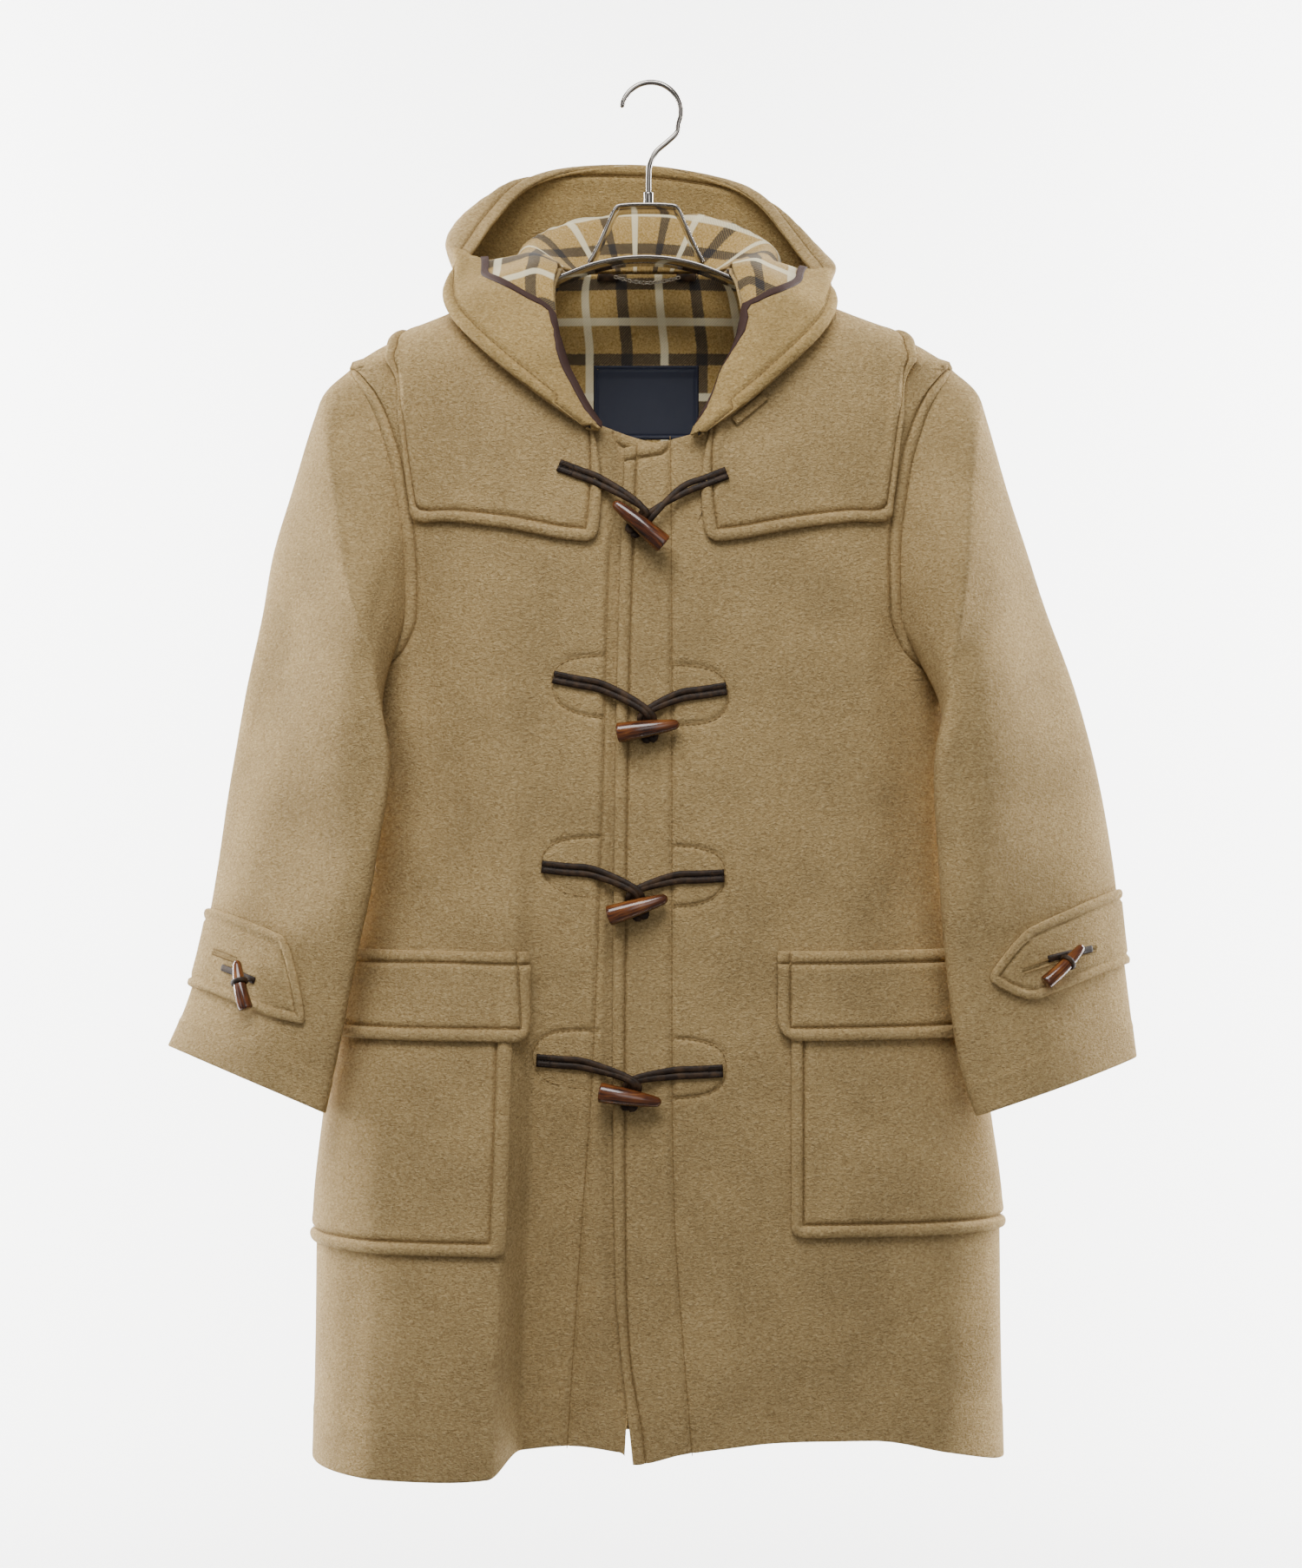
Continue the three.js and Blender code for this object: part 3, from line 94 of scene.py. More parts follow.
BACK_FOLDS = rows("x width depth from", [
    (-165, 55, 10, -420), (-60, 60, -8, -520), (60, 55, 9, -480), (170, 60, -7, -450),
])
LEFT_SLEEVE = rows("ox oy oz ix iy iz bx by bz", [
    (-262, -8, -250, -248, -18, -492, -14, 52, 0), (-277, -10, -300, -238, -32, -505, -24, 57, 5),
    (-291, -12, -365, -225, -48, -520, -35, 58, 8), (-301, -13, -430, -216, -58, -545, -36, 56, 8),
    (-313, -13, -495, -218, -64, -580, -36, 53, 6), (-327, -12, -560, -226, -64, -625, -34, 49, 5),
    (-340, -11, -630, -236, -66, -682, -32, 46, 4), (-352, -12, -690, -245, -66, -735, -30, 44, 4),
    (-366, -13, -738, -253, -66, -780, -28, 42, 4), (-383, -15, -775, -260, -66, -820, -24, 40, 4),
])
RIGHT_SLEEVE = rows("ox oy oz ix iy iz bx by bz", [
    (262, -8, -250, 252, -18, -492, 12, 52, 0), (276, -10, -300, 246, -32, -505, 20, 57, 5),
    (292, -12, -362, 238, -46, -520, 26, 58, 8), (310, -13, -425, 231, -56, -545, 28, 56, 8),
    (332, -13, -490, 229, -62, -580, 28, 53, 6), (352, -12, -556, 231, -64, -630, 27, 49, 5),
    (366, -11, -625, 235, -66, -690, 26, 46, 4), (374, -11, -690, 240, -66, -742, 25, 44, 4),
    (380, -12, -740, 247, -66, -785, 24, 42, 4), (386, -13, -784, 259, -66, -822, 22, 40, 4),
])
YOKE = rows("neckTurn drop turn z bulge", [
    (82, 8, 82.5, -375, 1.2), (80.5, 12, 76, -372, 0), (78, 14, 66, -364, 0), (74, 12, 53, -358, 0),
    (68, 9, 42.5, -356, 0), (60, 7, 41, -338, 0), (46, 6, 38, -280, 0), (28, 5, 33, -230, 0),
    (0, 5, 0, -207, 0), (-28, 5, -31, -230, 0), (-50, 5, -36, -280, 0), (-62, 5, -36, -325, 0),
    (-70, 5, -39, -340, 0), (-80, 5, -66, -341, 0), (-90, 5, -90, -342, 0),
])
HOOD = rows("turn fx fy fz lx ly lz tx ty tz bx by bz bow", [
    (83.5, -41, -78, -288, -45, -79, -287, -49, -80, -285, -54, -80, -284, 0),
    (79, -66, -70, -247, -77, -73, -249, -86, -76, -252, -94, -78, -255, 0),
    (72, -82, -58, -200, -99, -66, -207, -115, -67, -216, -128, -68, -227, 0),
    (52, -91, -38, -160, -116, -44, -168, -140, -47, -182, -157, -48, -196, 0),
    (25, -93, -16, -143, -119, -17, -151, -147, -20, -161, -166, -24, -172, 0),
    (0, -98, 8, -133, -125, 14, -145, -156, 8, -135, -157, -3, -154, 2),
    (-22, -101, 34, -122, -134, 70, -215, -170, 34, -112, -143, 24, -128, 14),
    (-44, -86, 54, -108, -124, 98, -290, -160, 66, -81, -129, 54, -100, 22),
    (-62, -62, 64, -97, -92, 108, -340, -123, 92, -57, -103, 81, -67, 24),
    (-77, -33, 67, -91, -48, 112, -366, -70, 107, -50, -61, 99, -48, 24),
    (-90, 0, 68, -90, 0, 114, -372, 0, 112, -51, 0, 107, -43, 24),
    (-103, 35, 67, -92, 48, 112, -366, 67, 106, -60, 58, 98, -58, 24),
    (-118, 62, 63, -98, 88, 108, -340, 100, 88, -73, 88, 79, -79, 24),
    (-136, 86, 52, -112, 112, 98, -290, 129, 62, -100, 110, 52, -112, 20),
    (-158, 99, 34, -126, 126, 74, -215, 150, 32, -132, 127, 24, -142, 12),
    (-180, 90, 6, -137, 115, 12, -151, 143, 4, -150, 141, -5, -168, 2),
    (-205, 83, -16, -145, 105, -18, -155, 131, -24, -168, 148, -29, -182, 0),
    (-232, 79, -38, -162, 98, -48, -172, 121, -54, -190, 137, -57, -206, 0),
    (-252, 74, -58, -202, 88, -66, -210, 99, -69, -222, 110, -71, -235, 0),
    (-259, 56, -71, -251, 64, -74, -254, 72, -77, -258, 79, -79, -263, 0),
    (-263.5, 33, -78, -293, 36, -79, -292, 39, -80, -290, 43, -80, -289, 0),
])
FASTENINGS = rows("loopX loopZ loopInX loopInZ tabX tabZ tabInX tabInZ tipX tipZ baseX baseZ lift sink", [
    (-71, -315, -41, -327, 59, -321, 26, -334, -29, -345, 10, -378, YOKE_LIFT, 2),
    (-76, -480, -38, -488, 59, -489, 22, -495, 22, -517, -26, -524, 0, 2.75),
    (-85, -628, -46, -632, 57, -635, 18, -637, 13, -652, -33, -666, 0, 1.75),
    (-90, -779, -52, -782, 56, -787, 16, -789, 8, -811, -39, -803, 0, 0),
])

# Stitch lines that cross the fronts, as places across and heights.
OVER_FACING = [(14.9, -291), (16.2, -386), (16.2, -629), (16.2, -886), (24.4, -994), (32.5, -1092)]
UNDER_FACING = [(-30.5, -372), (-33.2, -386), (-37.9, -588), (-46, -802), (-52.8, -886), (-66.3, -1092)]
LOOP_PATCHES = [
    [(-30.4, -463.4), (-57.5, -464), (-71, -469.4), (-77, -477), (-78.5, -484.3), (-74.4, -499.2),
     (-59.5, -508.7), (-30.4, -513.4)],
    [(-35.9, -604.8), (-64.3, -605.5), (-78.5, -610.9), (-84, -617), (-85.9, -624.4), (-82.6, -638.6),
     (-67.7, -649.4), (-37.9, -652.8)],
    [(-40.6, -755.7), (-71, -755.7), (-85.3, -761.1), (-91, -768), (-93.4, -776.6), (-89.3, -790.2),
     (-74.4, -799), (-46, -801.7)],
]
TOGGLE_PATCHES = [
    [(14.9, -470.8), (33.8, -470.8), (51.4, -475.5), (58, -482), (60.9, -490.4), (59.5, -506), (46, -516.1),
     (14.9, -518.2)],
    [(15.6, -611.5), (33.8, -612.2), (50.1, -617), (56, -623), (58.2, -631.2), (56.8, -646.7), (42, -656.9),
     (15.6, -659.6)],
    [(14.9, -761.8), (33.8, -762.4), (51.4, -767.9), (57, -774), (58.9, -782.1), (56.8, -797.6), (44, -806.4),
     (14.9, -809.1)],
]
# Soft dents and ridges of the hanging cloth: place, height, half width, half length, lean in degrees, depth.
FRONT_CREASES = rows("x z wide long lean depth", [
    (-186, -420, 16, 95, 8, -3.2), (-160, -560, 20, 120, 3, -2.6), (-118, -520, 24, 150, 2, 2.2),
    (-196, -520, 14, 60, 22, 2.5), (-60, -560, 18, 120, -2, 1.4), (-84, -330, 9, 46, -6, -1.5),
    (-120, -300, 10, 50, -3, 1.3), (-150, -700, 26, 60, 60, -2.2), (198, -430, 15, 80, -8, -3.2),
    (176, -520, 20, 120, -4, 2.4), (206, -560, 16, 110, -6, -2.4), (120, -560, 30, 150, 0, -1.6),
    (90, -960, 24, 90, 4, -2.2), (150, -990, 22, 90, -3, 2.6), (60, -1010, 14, 60, 2, 1.6),
    (210, -1010, 20, 80, -4, -2.2), (-70, -930, 14, 120, -2, -2.4), (-40, -900, 12, 150, 0, 1.6),
    (-180, -1000, 26, 80, 4, 2.2), (-225, -990, 20, 80, 2, -2.0), (70, -1000, 34, 14, 84, -1.5),
    (96, -900, 40, 10, 86, 1.2), (120, -360, 14, 40, -8, -1.2), (80, -420, 20, 70, -4, 1.2),
])
BACK_CREASES = rows("x z wide long lean depth", [
    (-150, -450, 18, 120, 6, 3.0), (150, -460, 18, 120, -6, 3.0), (-90, -560, 24, 150, 2, -2.4),
    (84, -600, 26, 160, -3, -2.4), (0, -700, 30, 240, 0, 2.2), (-190, -760, 22, 160, 3, -2.4),
    (196, -780, 22, 160, -3, -2.6), (-40, -950, 20, 120, 2, -2.0), (60, -980, 22, 120, -3, 2.2),
    (0, -400, 60, 26, 90, 1.6), (-60, -420, 60, 18, 78, -1.4), (70, -430, 60, 18, 102, -1.4),
])
# The same on a sleeve: steps down it, degrees round it, half length down, half width round, lean, and depth.
SLEEVE_CREASES = rows("at turn long wide lean depth", [
    (0.9, 60, 0.5, 30, 24, -3.0), (1.6, 95, 0.6, 26, 30, 3.0), (2.4, 120, 0.7, 24, -18, -3.4),
    (3.3, 70, 0.9, 26, 16, 3.0), (4.2, 110, 0.8, 24, 24, -3.4), (5.0, 60, 0.8, 28, -20, -2.4),
    (5.6, 120, 0.6, 26, 22, 3.0), (3.6, 20, 1.4, 20, 6, -2.2), (5.9, 30, 0.9, 22, 8, 2.0),
    (7.4, 100, 0.7, 26, 10, -2.4), (8.3, 60, 0.6, 30, 6, 2.2), (8.5, 120, 0.5, 24, 0, -2.0),
    (2.2, 250, 0.9, 36, 14, 3.0), (4.6, 230, 0.8, 40, -14, -3.6), (5.3, 290, 0.7, 34, 14, 3.2),
    (6.8, 260, 0.9, 40, 8, -2.8), (1.2, 320, 0.7, 30, 0, -2.4), (3.9, 330, 1.0, 26, 10, 2.6),
])

# Shaping


def ease(t):
    """A smooth step from 0 to 1."""
    c = np.clip(t, 0, 1)
    return c * c * (3 - 2 * c)


def between(a, b, t):
    return a + (b - a) * t


def read(table, column, key, at):
    """A column of a table at values of its first column, eased between rows without overshoot."""
    x, y = table[key], table[column]
    if x[0] > x[-1]:
        x, y = x[::-1], y[::-1]
    slope = np.diff(y) / np.diff(x)
    tangent = np.concatenate([[slope[0]], np.zeros(len(x) - 2), [slope[-1]]])
    product = slope[:-1] * slope[1:]
    total = slope[:-1] + slope[1:]
    rising = product > 0
    tangent[1:-1][rising] = 2 * product[rising] / total[rising]
    v = np.clip(at, x[0], x[-1])
    i = np.clip(np.searchsorted(x, v, side="right") - 1, 0, len(x) - 2)
    span = x[i + 1] - x[i]
    t = (v - x[i]) / span
    t2, t3 = t * t, t * t * t
    return ((2 * t3 - 3 * t2 + 1) * y[i] + (t3 - 2 * t2 + t) * span * tangent[i]
            + (3 * t2 - 2 * t3) * y[i + 1] + (t3 - t2) * span * tangent[i + 1])


def spline(table, column, at):
    """Smooth values between rows of a table that lie a step of one apart."""
    y = table[column]
    last = len(y) - 1
    v = np.clip(at, 0, last)
    i = np.minimum(np.floor(v).astype(int), last - 1)
    t = v - i
    p0, p1, p2, p3 = (y[np.clip(i + k, 0, last)] for k in (-1, 0, 1, 2))
    return p1 + 0.5 * t * (p2 - p0 + t * (2 * p0 - 5 * p1 + 4 * p2 - p3 + t * (3 * (p1 - p2) + p3 - p0)))


def unit(v):
    """Vectors scaled to a length of one."""
    return v / np.maximum(np.linalg.norm(v, axis=-1, keepdims=True), 1e-9)


def fold_sum(folds, x, z):
    """Upright folds that start at a height and deepen towards the hem."""
    total = np.zeros(np.broadcast(x, z).shape)
    for place, width, depth, start in zip(folds["x"], folds["width"], folds["depth"], folds["from"]):
        total = total + depth * np.exp(-(((x - place) / width) ** 2)) * ease((start - z) / (start - HEM_LEVEL))
    return total


def creases(table, x, z):
    """Long soft dents, each a leaning bump that fades out at both its ends."""
    total = np.zeros(np.broadcast(x, z).shape)
    for k in range(len(table["x"])):
        lean = math.radians(table["lean"][k])
        across = (x - table["x"][k]) * math.cos(lean) + (z - table["z"][k]) * math.sin(lean)
        along = -(x - table["x"][k]) * math.sin(lean) + (z - table["z"][k]) * math.cos(lean)
        total = total + table["depth"][k] * np.exp(-((across / table["wide"][k]) ** 2)
                                                   - (along / table["long"][k]) ** 2)
    return total


def front_fold(x, z):
    """How far the left front lies back beside its long fold, which turns within 24 mm, and the soft folds."""
    plateau = ease((read(FRONT_EDGE, "step", "z", z) + 10 - x) / 24)
    return read(LONG_FOLD, "depth", "z", z) * plateau + fold_sum(SOFT_FOLDS, x, z)


def body(angle, z):
    """Middle of the body's cloth at an angle round from the left side; 90 degrees is the front's middle."""
    angle, z = np.broadcast_arrays(np.asarray(angle, float), np.asarray(z, float))
    c, s = np.cos(angle), np.sin(angle)
    power = 2 / SECTION_POWER
    x = read(BODY, "middle", "z", z) - read(BODY, "half", "z", z) * np.sign(c) * np.abs(c) ** power
    depth = np.where(s > 0, read(BODY, "front", "z", z), read(BODY, "back", "z", z))
    fold = np.where(s > 0, -front_fold(x, z) - 1.5 * creases(FRONT_CREASES, x, z),
                    fold_sum(BACK_FOLDS, x, z) + creases(BACK_CREASES, x, z))
    y = -depth * np.sign(s) * np.abs(s) ** power + fold * np.minimum(1, 1.6 * np.abs(s))
    return np.stack([x, y, z], axis=-1)


def body_normal(angle, z):
    """Outward direction of the body's cloth."""
    round_ = body(angle + 0.012, z) - body(angle - 0.012, z)
    up = body(angle, z + 1.5) - body(angle, z - 1.5)
    return unit(np.cross(round_, up))


def front_angle(x, z):
    """The angle of a place on the front that lies at x."""
    share = np.clip((read(BODY, "middle", "z", z) - x) / read(BODY, "half", "z", z), -1, 1)
    return np.arccos(np.sign(share) * np.abs(share) ** (SECTION_POWER / 2))


def on_front(x, z, lift):
    """Places on the front, lifted off the middle of its cloth, and the outward directions there."""
    angle = front_angle(np.asarray(x, float), np.asarray(z, float))
    normal = body_normal(angle, z)
    return body(angle, z) + normal * np.asarray(lift, float)[..., None], normal


def grid_normals(points):
    """Directions away from a grid, on the side from which its columns run to the right and its rows upwards."""
    return unit(np.cross(np.gradient(points, axis=1), np.gradient(points, axis=0)))


def distance(points, line):
    """Distance from each point to a line of points, in as many dimensions as they have."""
    line = np.asarray(line, float)
    flat = points.reshape(-1, points.shape[-1])
    best = np.full(len(flat), FAR)
    for a, b in zip(line[:-1], line[1:]):
        d = b - a
        t = np.clip(((flat - a) @ d) / max(d @ d, 1e-9), 0, 1)
        best = np.minimum(best, np.linalg.norm(flat - a - t[:, None] * d, axis=1))
    return best.reshape(points.shape[:-1])


def lengths(points, axis=0):
    """Distance of each point from the first, measured from point to point along one axis of a grid or line."""
    steps = np.linalg.norm(np.diff(points, axis=axis), axis=-1)
    return np.concatenate([np.zeros_like(steps.take([0], axis)), np.cumsum(steps, axis=axis)], axis=axis)


def resample(line, step):
    """Points at even steps along a line."""
    line = np.asarray(line, float)
    length = lengths(line)
    at = np.linspace(0, length[-1], max(int(length[-1] / step), 1) + 1)
    return np.stack([np.interp(at, length, line[:, k]) for k in range(line.shape[1])], axis=1)


def rounded(line, turns=3):
    """A line with its corners cut again and again."""
    line = np.asarray(line, float)
    for _ in range(turns):
        a, b = line[:-1], line[1:]
        mixed = np.empty((2 * len(a), line.shape[1]))
        mixed[0::2], mixed[1::2] = 0.75 * a + 0.25 * b, 0.25 * a + 0.75 * b
        line = np.concatenate([line[:1], mixed, line[-1:]])
    return line


# Distances from an edge at which a panel has grid lines: close together where it turns and is
# stitched, or only where it turns.
EDGE_STEPS = [0, 0.3, 0.8, 1.6, 2.8, 4.2, 5.8, 7.2, 8.3, 9.2, STITCH_INSET, 10.8, 11.7, 13, 15, 17.5]
RAW_STEPS = [0, 0.4, 1.1, 2.2]
STITCHED_STEP = EDGE_STEPS.index(STITCH_INSET)      # the grid line under the topstitching


def ladder(length, step, first=EDGE_STEPS, last=EDGE_STEPS, fine=(), fine_step=1.35):
    """Grid places along a length, close at both ends and in the fine spans, which are from the start."""
    marks = [*first]
    at = first[-1]
    stop = length - last[-1]
    while at < stop - 0.2:
        near = any(a - 7 <= at <= b + 1 for a, b in fine)
        at += fine_step if near else step
        marks.append(min(at, stop))
    marks = [m for m in marks if m < stop - 0.3 * fine_step] + [length - m for m in reversed(last)]
    return np.array(marks)


def stretch(marks, nominal, real, first=EDGE_STEPS[-1], last=EDGE_STEPS[-1]):
    """Marks made for one length, fitted to another, with the close ones at both ends kept as they are."""
    total = first + last
    if real < total + 4:
        return marks * real / nominal
    scale = (real - total) / (nominal - total)
    inner = first + (marks - first) * scale
    return np.where(marks <= first, marks, np.where(marks >= nominal - last, real - (nominal - marks), inner))


def spaced(curve, marks, nominal, samples, last=EDGE_STEPS[-1]):
    """Parameters from 0 to 1 at which a curve reaches each mark, fitted from the nominal length to its own."""
    t = np.linspace(0, 1, samples)
    length = lengths(curve(t))
    return np.interp(stretch(marks, nominal, length[-1], last=last), length, t)


def ridge(near, place, reach):
    """A bump that is 1 at a distance and fades to both sides of it."""
    return np.exp(-(((near - place) / reach) ** 2))


def relief(points, edges, stitches, puff=1.5, groove=2.3):
    """Thickness of a panel: swollen between its edges and the stitching, drawn in by each stitch line."""
    near_edge, near_stitch = (np.minimum.reduce([distance(points, line) for line in lines])
                              for lines in (edges, stitches))
    share = near_edge / np.maximum(near_edge + near_stitch, 1e-6)
    inside = ease((STITCH_INSET * 1.12 - near_edge) / (STITCH_INSET * 0.12))
    thick = CLOTH + puff * np.sin(np.pi * np.clip(share, 0, 1)) * inside
    return thick + 0.55 * ridge(near_stitch, 5.5, 3.5) - groove * ridge(near_stitch, 0, 1.9)


def border(points):
    """Distance of each vertex along its row from the first column, and up its column from the first row."""
    return lengths(points, 1), lengths(points, 0)


# Meshes


def finished(name, bm, materials):
    """A mesh object at the origin from a bmesh in millimetres."""
    bmesh.ops.scale(bm, vec=(METRE,) * 3, verts=bm.verts)
    mesh = bpy.data.meshes.new(name)
    bm.to_mesh(mesh)
    bm.free()
    for polygon in mesh.polygons:
        polygon.use_smooth = True
    for material in materials:
        mesh.materials.append(material)
    piece = bpy.data.objects.new(name, mesh)
    bpy.context.scene.collection.objects.link(piece)
    return piece


def mapped_grid(points, uv):
    """A bmesh grid whose vertices lie at the given rows of points, and the row and column of each vertex."""
    bm = bmesh.new()
    up, across = points.shape[0] - 1, points.shape[1] - 1
    bmesh.ops.create_grid(bm, x_segments=across, y_segments=up, size=1)
    layer = bm.loops.layers.uv.new("cloth")
    places = {}
    for vertex in bm.verts:
        place = round((vertex.co.y + 1) / 2 * up), round((vertex.co.x + 1) / 2 * across)
        places[vertex.index] = place
        vertex.co = points[place]
        for loop in vertex.link_loops:
            loop[layer].uv = uv[place]
    return bm, places


def flat_uv(points):
    """Texture places in metres, measured along the middle column and each row from its middle."""
    across, up = border(points)
    middle = points.shape[1] // 2
    u = across - across[:, middle:middle + 1]
    v = np.repeat(up[:, middle:middle + 1], points.shape[1], axis=1)
    return np.stack([u, v], axis=-1) * METRE


def cloth(name, points, thick, outside, inside, normals, node=None, closed=False, rim=1.5, uv=None,
          open_edges="lrbt"):
    """A sewn piece: a shell round its middle surface, thick as told, rounded at its open edges, cut flat.

    open_edges names the left, right, bottom and top sides of the grid that are edges of the cloth.
    """
    across, up = border(points)
    sides = {"l": across, "r": across[:, -1:] - across, "b": up, "t": up[-1:] - up}
    edge = np.minimum.reduce([sides[key] for key in open_edges])
    rounding = np.sqrt(np.maximum(1 - (1 - np.clip(edge / rim, 0, 1)) ** 2, 0.012))
    weight = np.clip(thick * rounding / THICKEST, 0.02, 1)
    middle = points + normals * ((thick - CLOTH) / 2)[..., None]
    bm, places = mapped_grid(middle, flat_uv(points) if uv is None else uv)
    group = bm.verts.layers.deform.verify()
    for vertex in bm.verts:
        vertex[group][0] = float(weight[places[vertex.index]])
    if closed:
        bmesh.ops.remove_doubles(bm, verts=bm.verts, dist=0.01)
    piece = finished(name, bm, [outside, inside])
    piece.vertex_groups.new(name="thickness")
    shell = piece.modifiers.new("cloth thickness", "SOLIDIFY")
    shell.thickness = THICKEST * METRE
    shell.offset = 0
    shell.vertex_group = "thickness"
    shell.material_offset = 1
    shell.material_offset_rim = 0
    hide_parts(node or name)
    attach(piece, "root")


def tube(path, radius, sides=12, closed=False, section=(1, 1), up=(0.0, 1.0, 0.0)):
    """Rows of points round a path, each ring turned with it; section scales the ring across and upwards."""
    path = np.asarray(path, float)
    tangent = unit(np.roll(path, -1, 0) - np.roll(path, 1, 0)) if closed else unit(np.gradient(path, axis=0))
    side = unit(np.cross(np.broadcast_to(up, path.shape), tangent))
    lift = np.cross(tangent, side)
    around = np.linspace(0, 2 * np.pi, sides + 1)[:, None]
    ring = section[0] * np.cos(around) * side[:, None] + section[1] * np.sin(around) * lift[:, None]
    points = path[:, None] + np.broadcast_to(radius, len(path))[:, None, None] * ring
    return np.concatenate([points, points[:1]]) if closed else points


def solid(name, tubes, material, node=None):
    """One object of several tubes, each closed at its ends."""
    whole = bmesh.new()
    for points in tubes:
        bm, _ = mapped_grid(points, flat_uv(points))
        bmesh.ops.remove_doubles(bm, verts=bm.verts, dist=0.004)
        rims = [e for e in bm.edges if e.is_boundary]
        if rims:
            bmesh.ops.holes_fill(bm, edges=rims, sides=0)
        bmesh.ops.recalc_face_normals(bm, faces=bm.faces)
        spare = bpy.data.meshes.new("spare")
        bm.to_mesh(spare)
        bm.free()
        whole.from_mesh(spare)
        bpy.data.meshes.remove(spare)
    piece = finished(name, whole, [material])
    if node:
        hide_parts(node)
    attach(piece, "root")


def stitching(name, lines, material, pitch=STITCH_PITCH, size=0.42):
    """Lockstitches: a thread along each line of points and normals, out of sight between its stitches."""
    tubes = []
    for line, normal in lines:
        steps = resample(np.concatenate([line, normal], axis=1), pitch / 4)
        phase = (np.arange(len(steps)) % 4) / 3
        radius = size * np.sqrt(np.clip(1.05 - (2 * phase - 1) ** 2, 0.04, 1))
        tubes.append(tube(steps[:, :3], radius, 5, up=steps[:, 3:]))
    solid(name, tubes, material)


# Finishes


def colour(code):
    """An sRGB hex value as the linear colour that a shader takes."""
    parts = [int(code[k:k + 2], 16) / 255 for k in (1, 3, 5)]
    return tuple(c / 12.92 if c <= 0.04045 else ((c + 0.055) / 1.055) ** 2.4 for c in parts) + (1,)


def add(tree, kind, inputs=None, out=0, stops=(), **settings):
    """One node: its settings, its sockets' values or links by name or number, and the colour stops of a ramp.
    Gives back one of its outputs.
    """
    node = tree.nodes.new("ShaderNode" + kind)
    for key, value in settings.items():
        setattr(node, key, value)
    for key, value in (inputs or {}).items():
        if isinstance(value, bpy.types.NodeSocket):
            tree.links.new(value, node.inputs[key])
        else:
            node.inputs[key].default_value = value
    if stops:
        elements = node.color_ramp.elements
        while len(elements) < len(stops):
            elements.new(0.5)
        for element, (place, code) in zip(elements, stops):
            element.position = place
            element.color = colour(code)
    return node.outputs[out]


def maths(tree, operation, *values):
    return add(tree, "Math", dict(enumerate(values)), operation=operation)


def rescaled(tree, value, low, high, to_low, to_high):
    sockets = ("Value", "From Min", "From Max", "To Min", "To Max")
    return add(tree, "MapRange", dict(zip(sockets, (value, low, high, to_low, to_high))))


def blended(tree, share, first, second, mode="MIX"):
    return add(tree, "Mix", {0: share, 6: first, 7: second}, 2, data_type="RGBA", blend_type=mode)


def shader(name, **values):
    """An empty material with a Principled shader whose sockets have the given values."""
    material = bpy.data.materials.new(name)
    material.use_nodes = True
    tree = material.node_tree
    surface = tree.nodes["Principled BSDF"]
    for key, value in values.items():
        surface.inputs[key.replace("_", " ")].default_value = value
    return material, tree, surface


def coloured(tree, surface, base, height, strength, depth):
    """Gives a surface its colour, and small relief of a depth in metres."""
    tree.links.new(base, surface.inputs["Base Color"])
    raised = add(tree, "Bump", {"Height": height, "Strength": strength, "Distance": depth})
    tree.links.new(raised, surface.inputs["Normal"])


def napped_wool(name, base, deep, light):
    """Milled and brushed coating: a matt felt of crimped fibres in tufts of 2 to 3 mm, mottled in colour, with
    painted shade in their hollows and a painted highlight on their tips.
    """
    material, tree, surface = shader(name, Roughness=0.95, Specular_IOR_Level=0.15, Sheen_Weight=0.05,
                                     Sheen_Roughness=0.45, Sheen_Tint=colour(light))
    place = add(tree, "TexCoord", out="Object")
    # tufts 2.6 mm wide and 1.7 mm high
    scaled = add(tree, "Mapping", {"Vector": place, "Scale": (1, 1, 1.5)})
    tuft = add(tree, "TexNoise", {"Vector": scaled, "Scale": 390, "Detail": 4.0, "Roughness": 0.62,
                                  "Distortion": 0.7})
    # single fibres, about 0.7 mm apart, drawn coarse enough to show
    fibre = add(tree, "TexNoise", {"Vector": scaled, "Scale": 1500, "Detail": 2.0})
    # slow changes of shade over 60 mm, from wear and pressing
    cloud = add(tree, "TexNoise", {"Vector": place, "Scale": 16, "Detail": 3.0})
    # the tufts' colour follows the bump's height: the wool's own mottling, with painted shade in the hollows
    # and a painted highlight on the tips; the fibres' grain does the same on a finer scale
    shade = add(tree, "ValToRGB", {"Fac": tuft}, stops=[(0.30, deep), (0.52, base), (0.74, light)])
    even = blended(tree, 0.25, shade, colour(base))
    tone = rescaled(tree, cloud, 0.35, 0.65, 0.88, 1.07)
    grain = rescaled(tree, fibre, 0.3, 0.7, 0.95, 1.05)
    final = blended(tree, 1.0, even, maths(tree, "MULTIPLY", tone, grain), "MULTIPLY")
    coloured(tree, surface, final, maths(tree, "MULTIPLY_ADD", fibre, 0.25, tuft), 0.9, 0.0022)
    return material


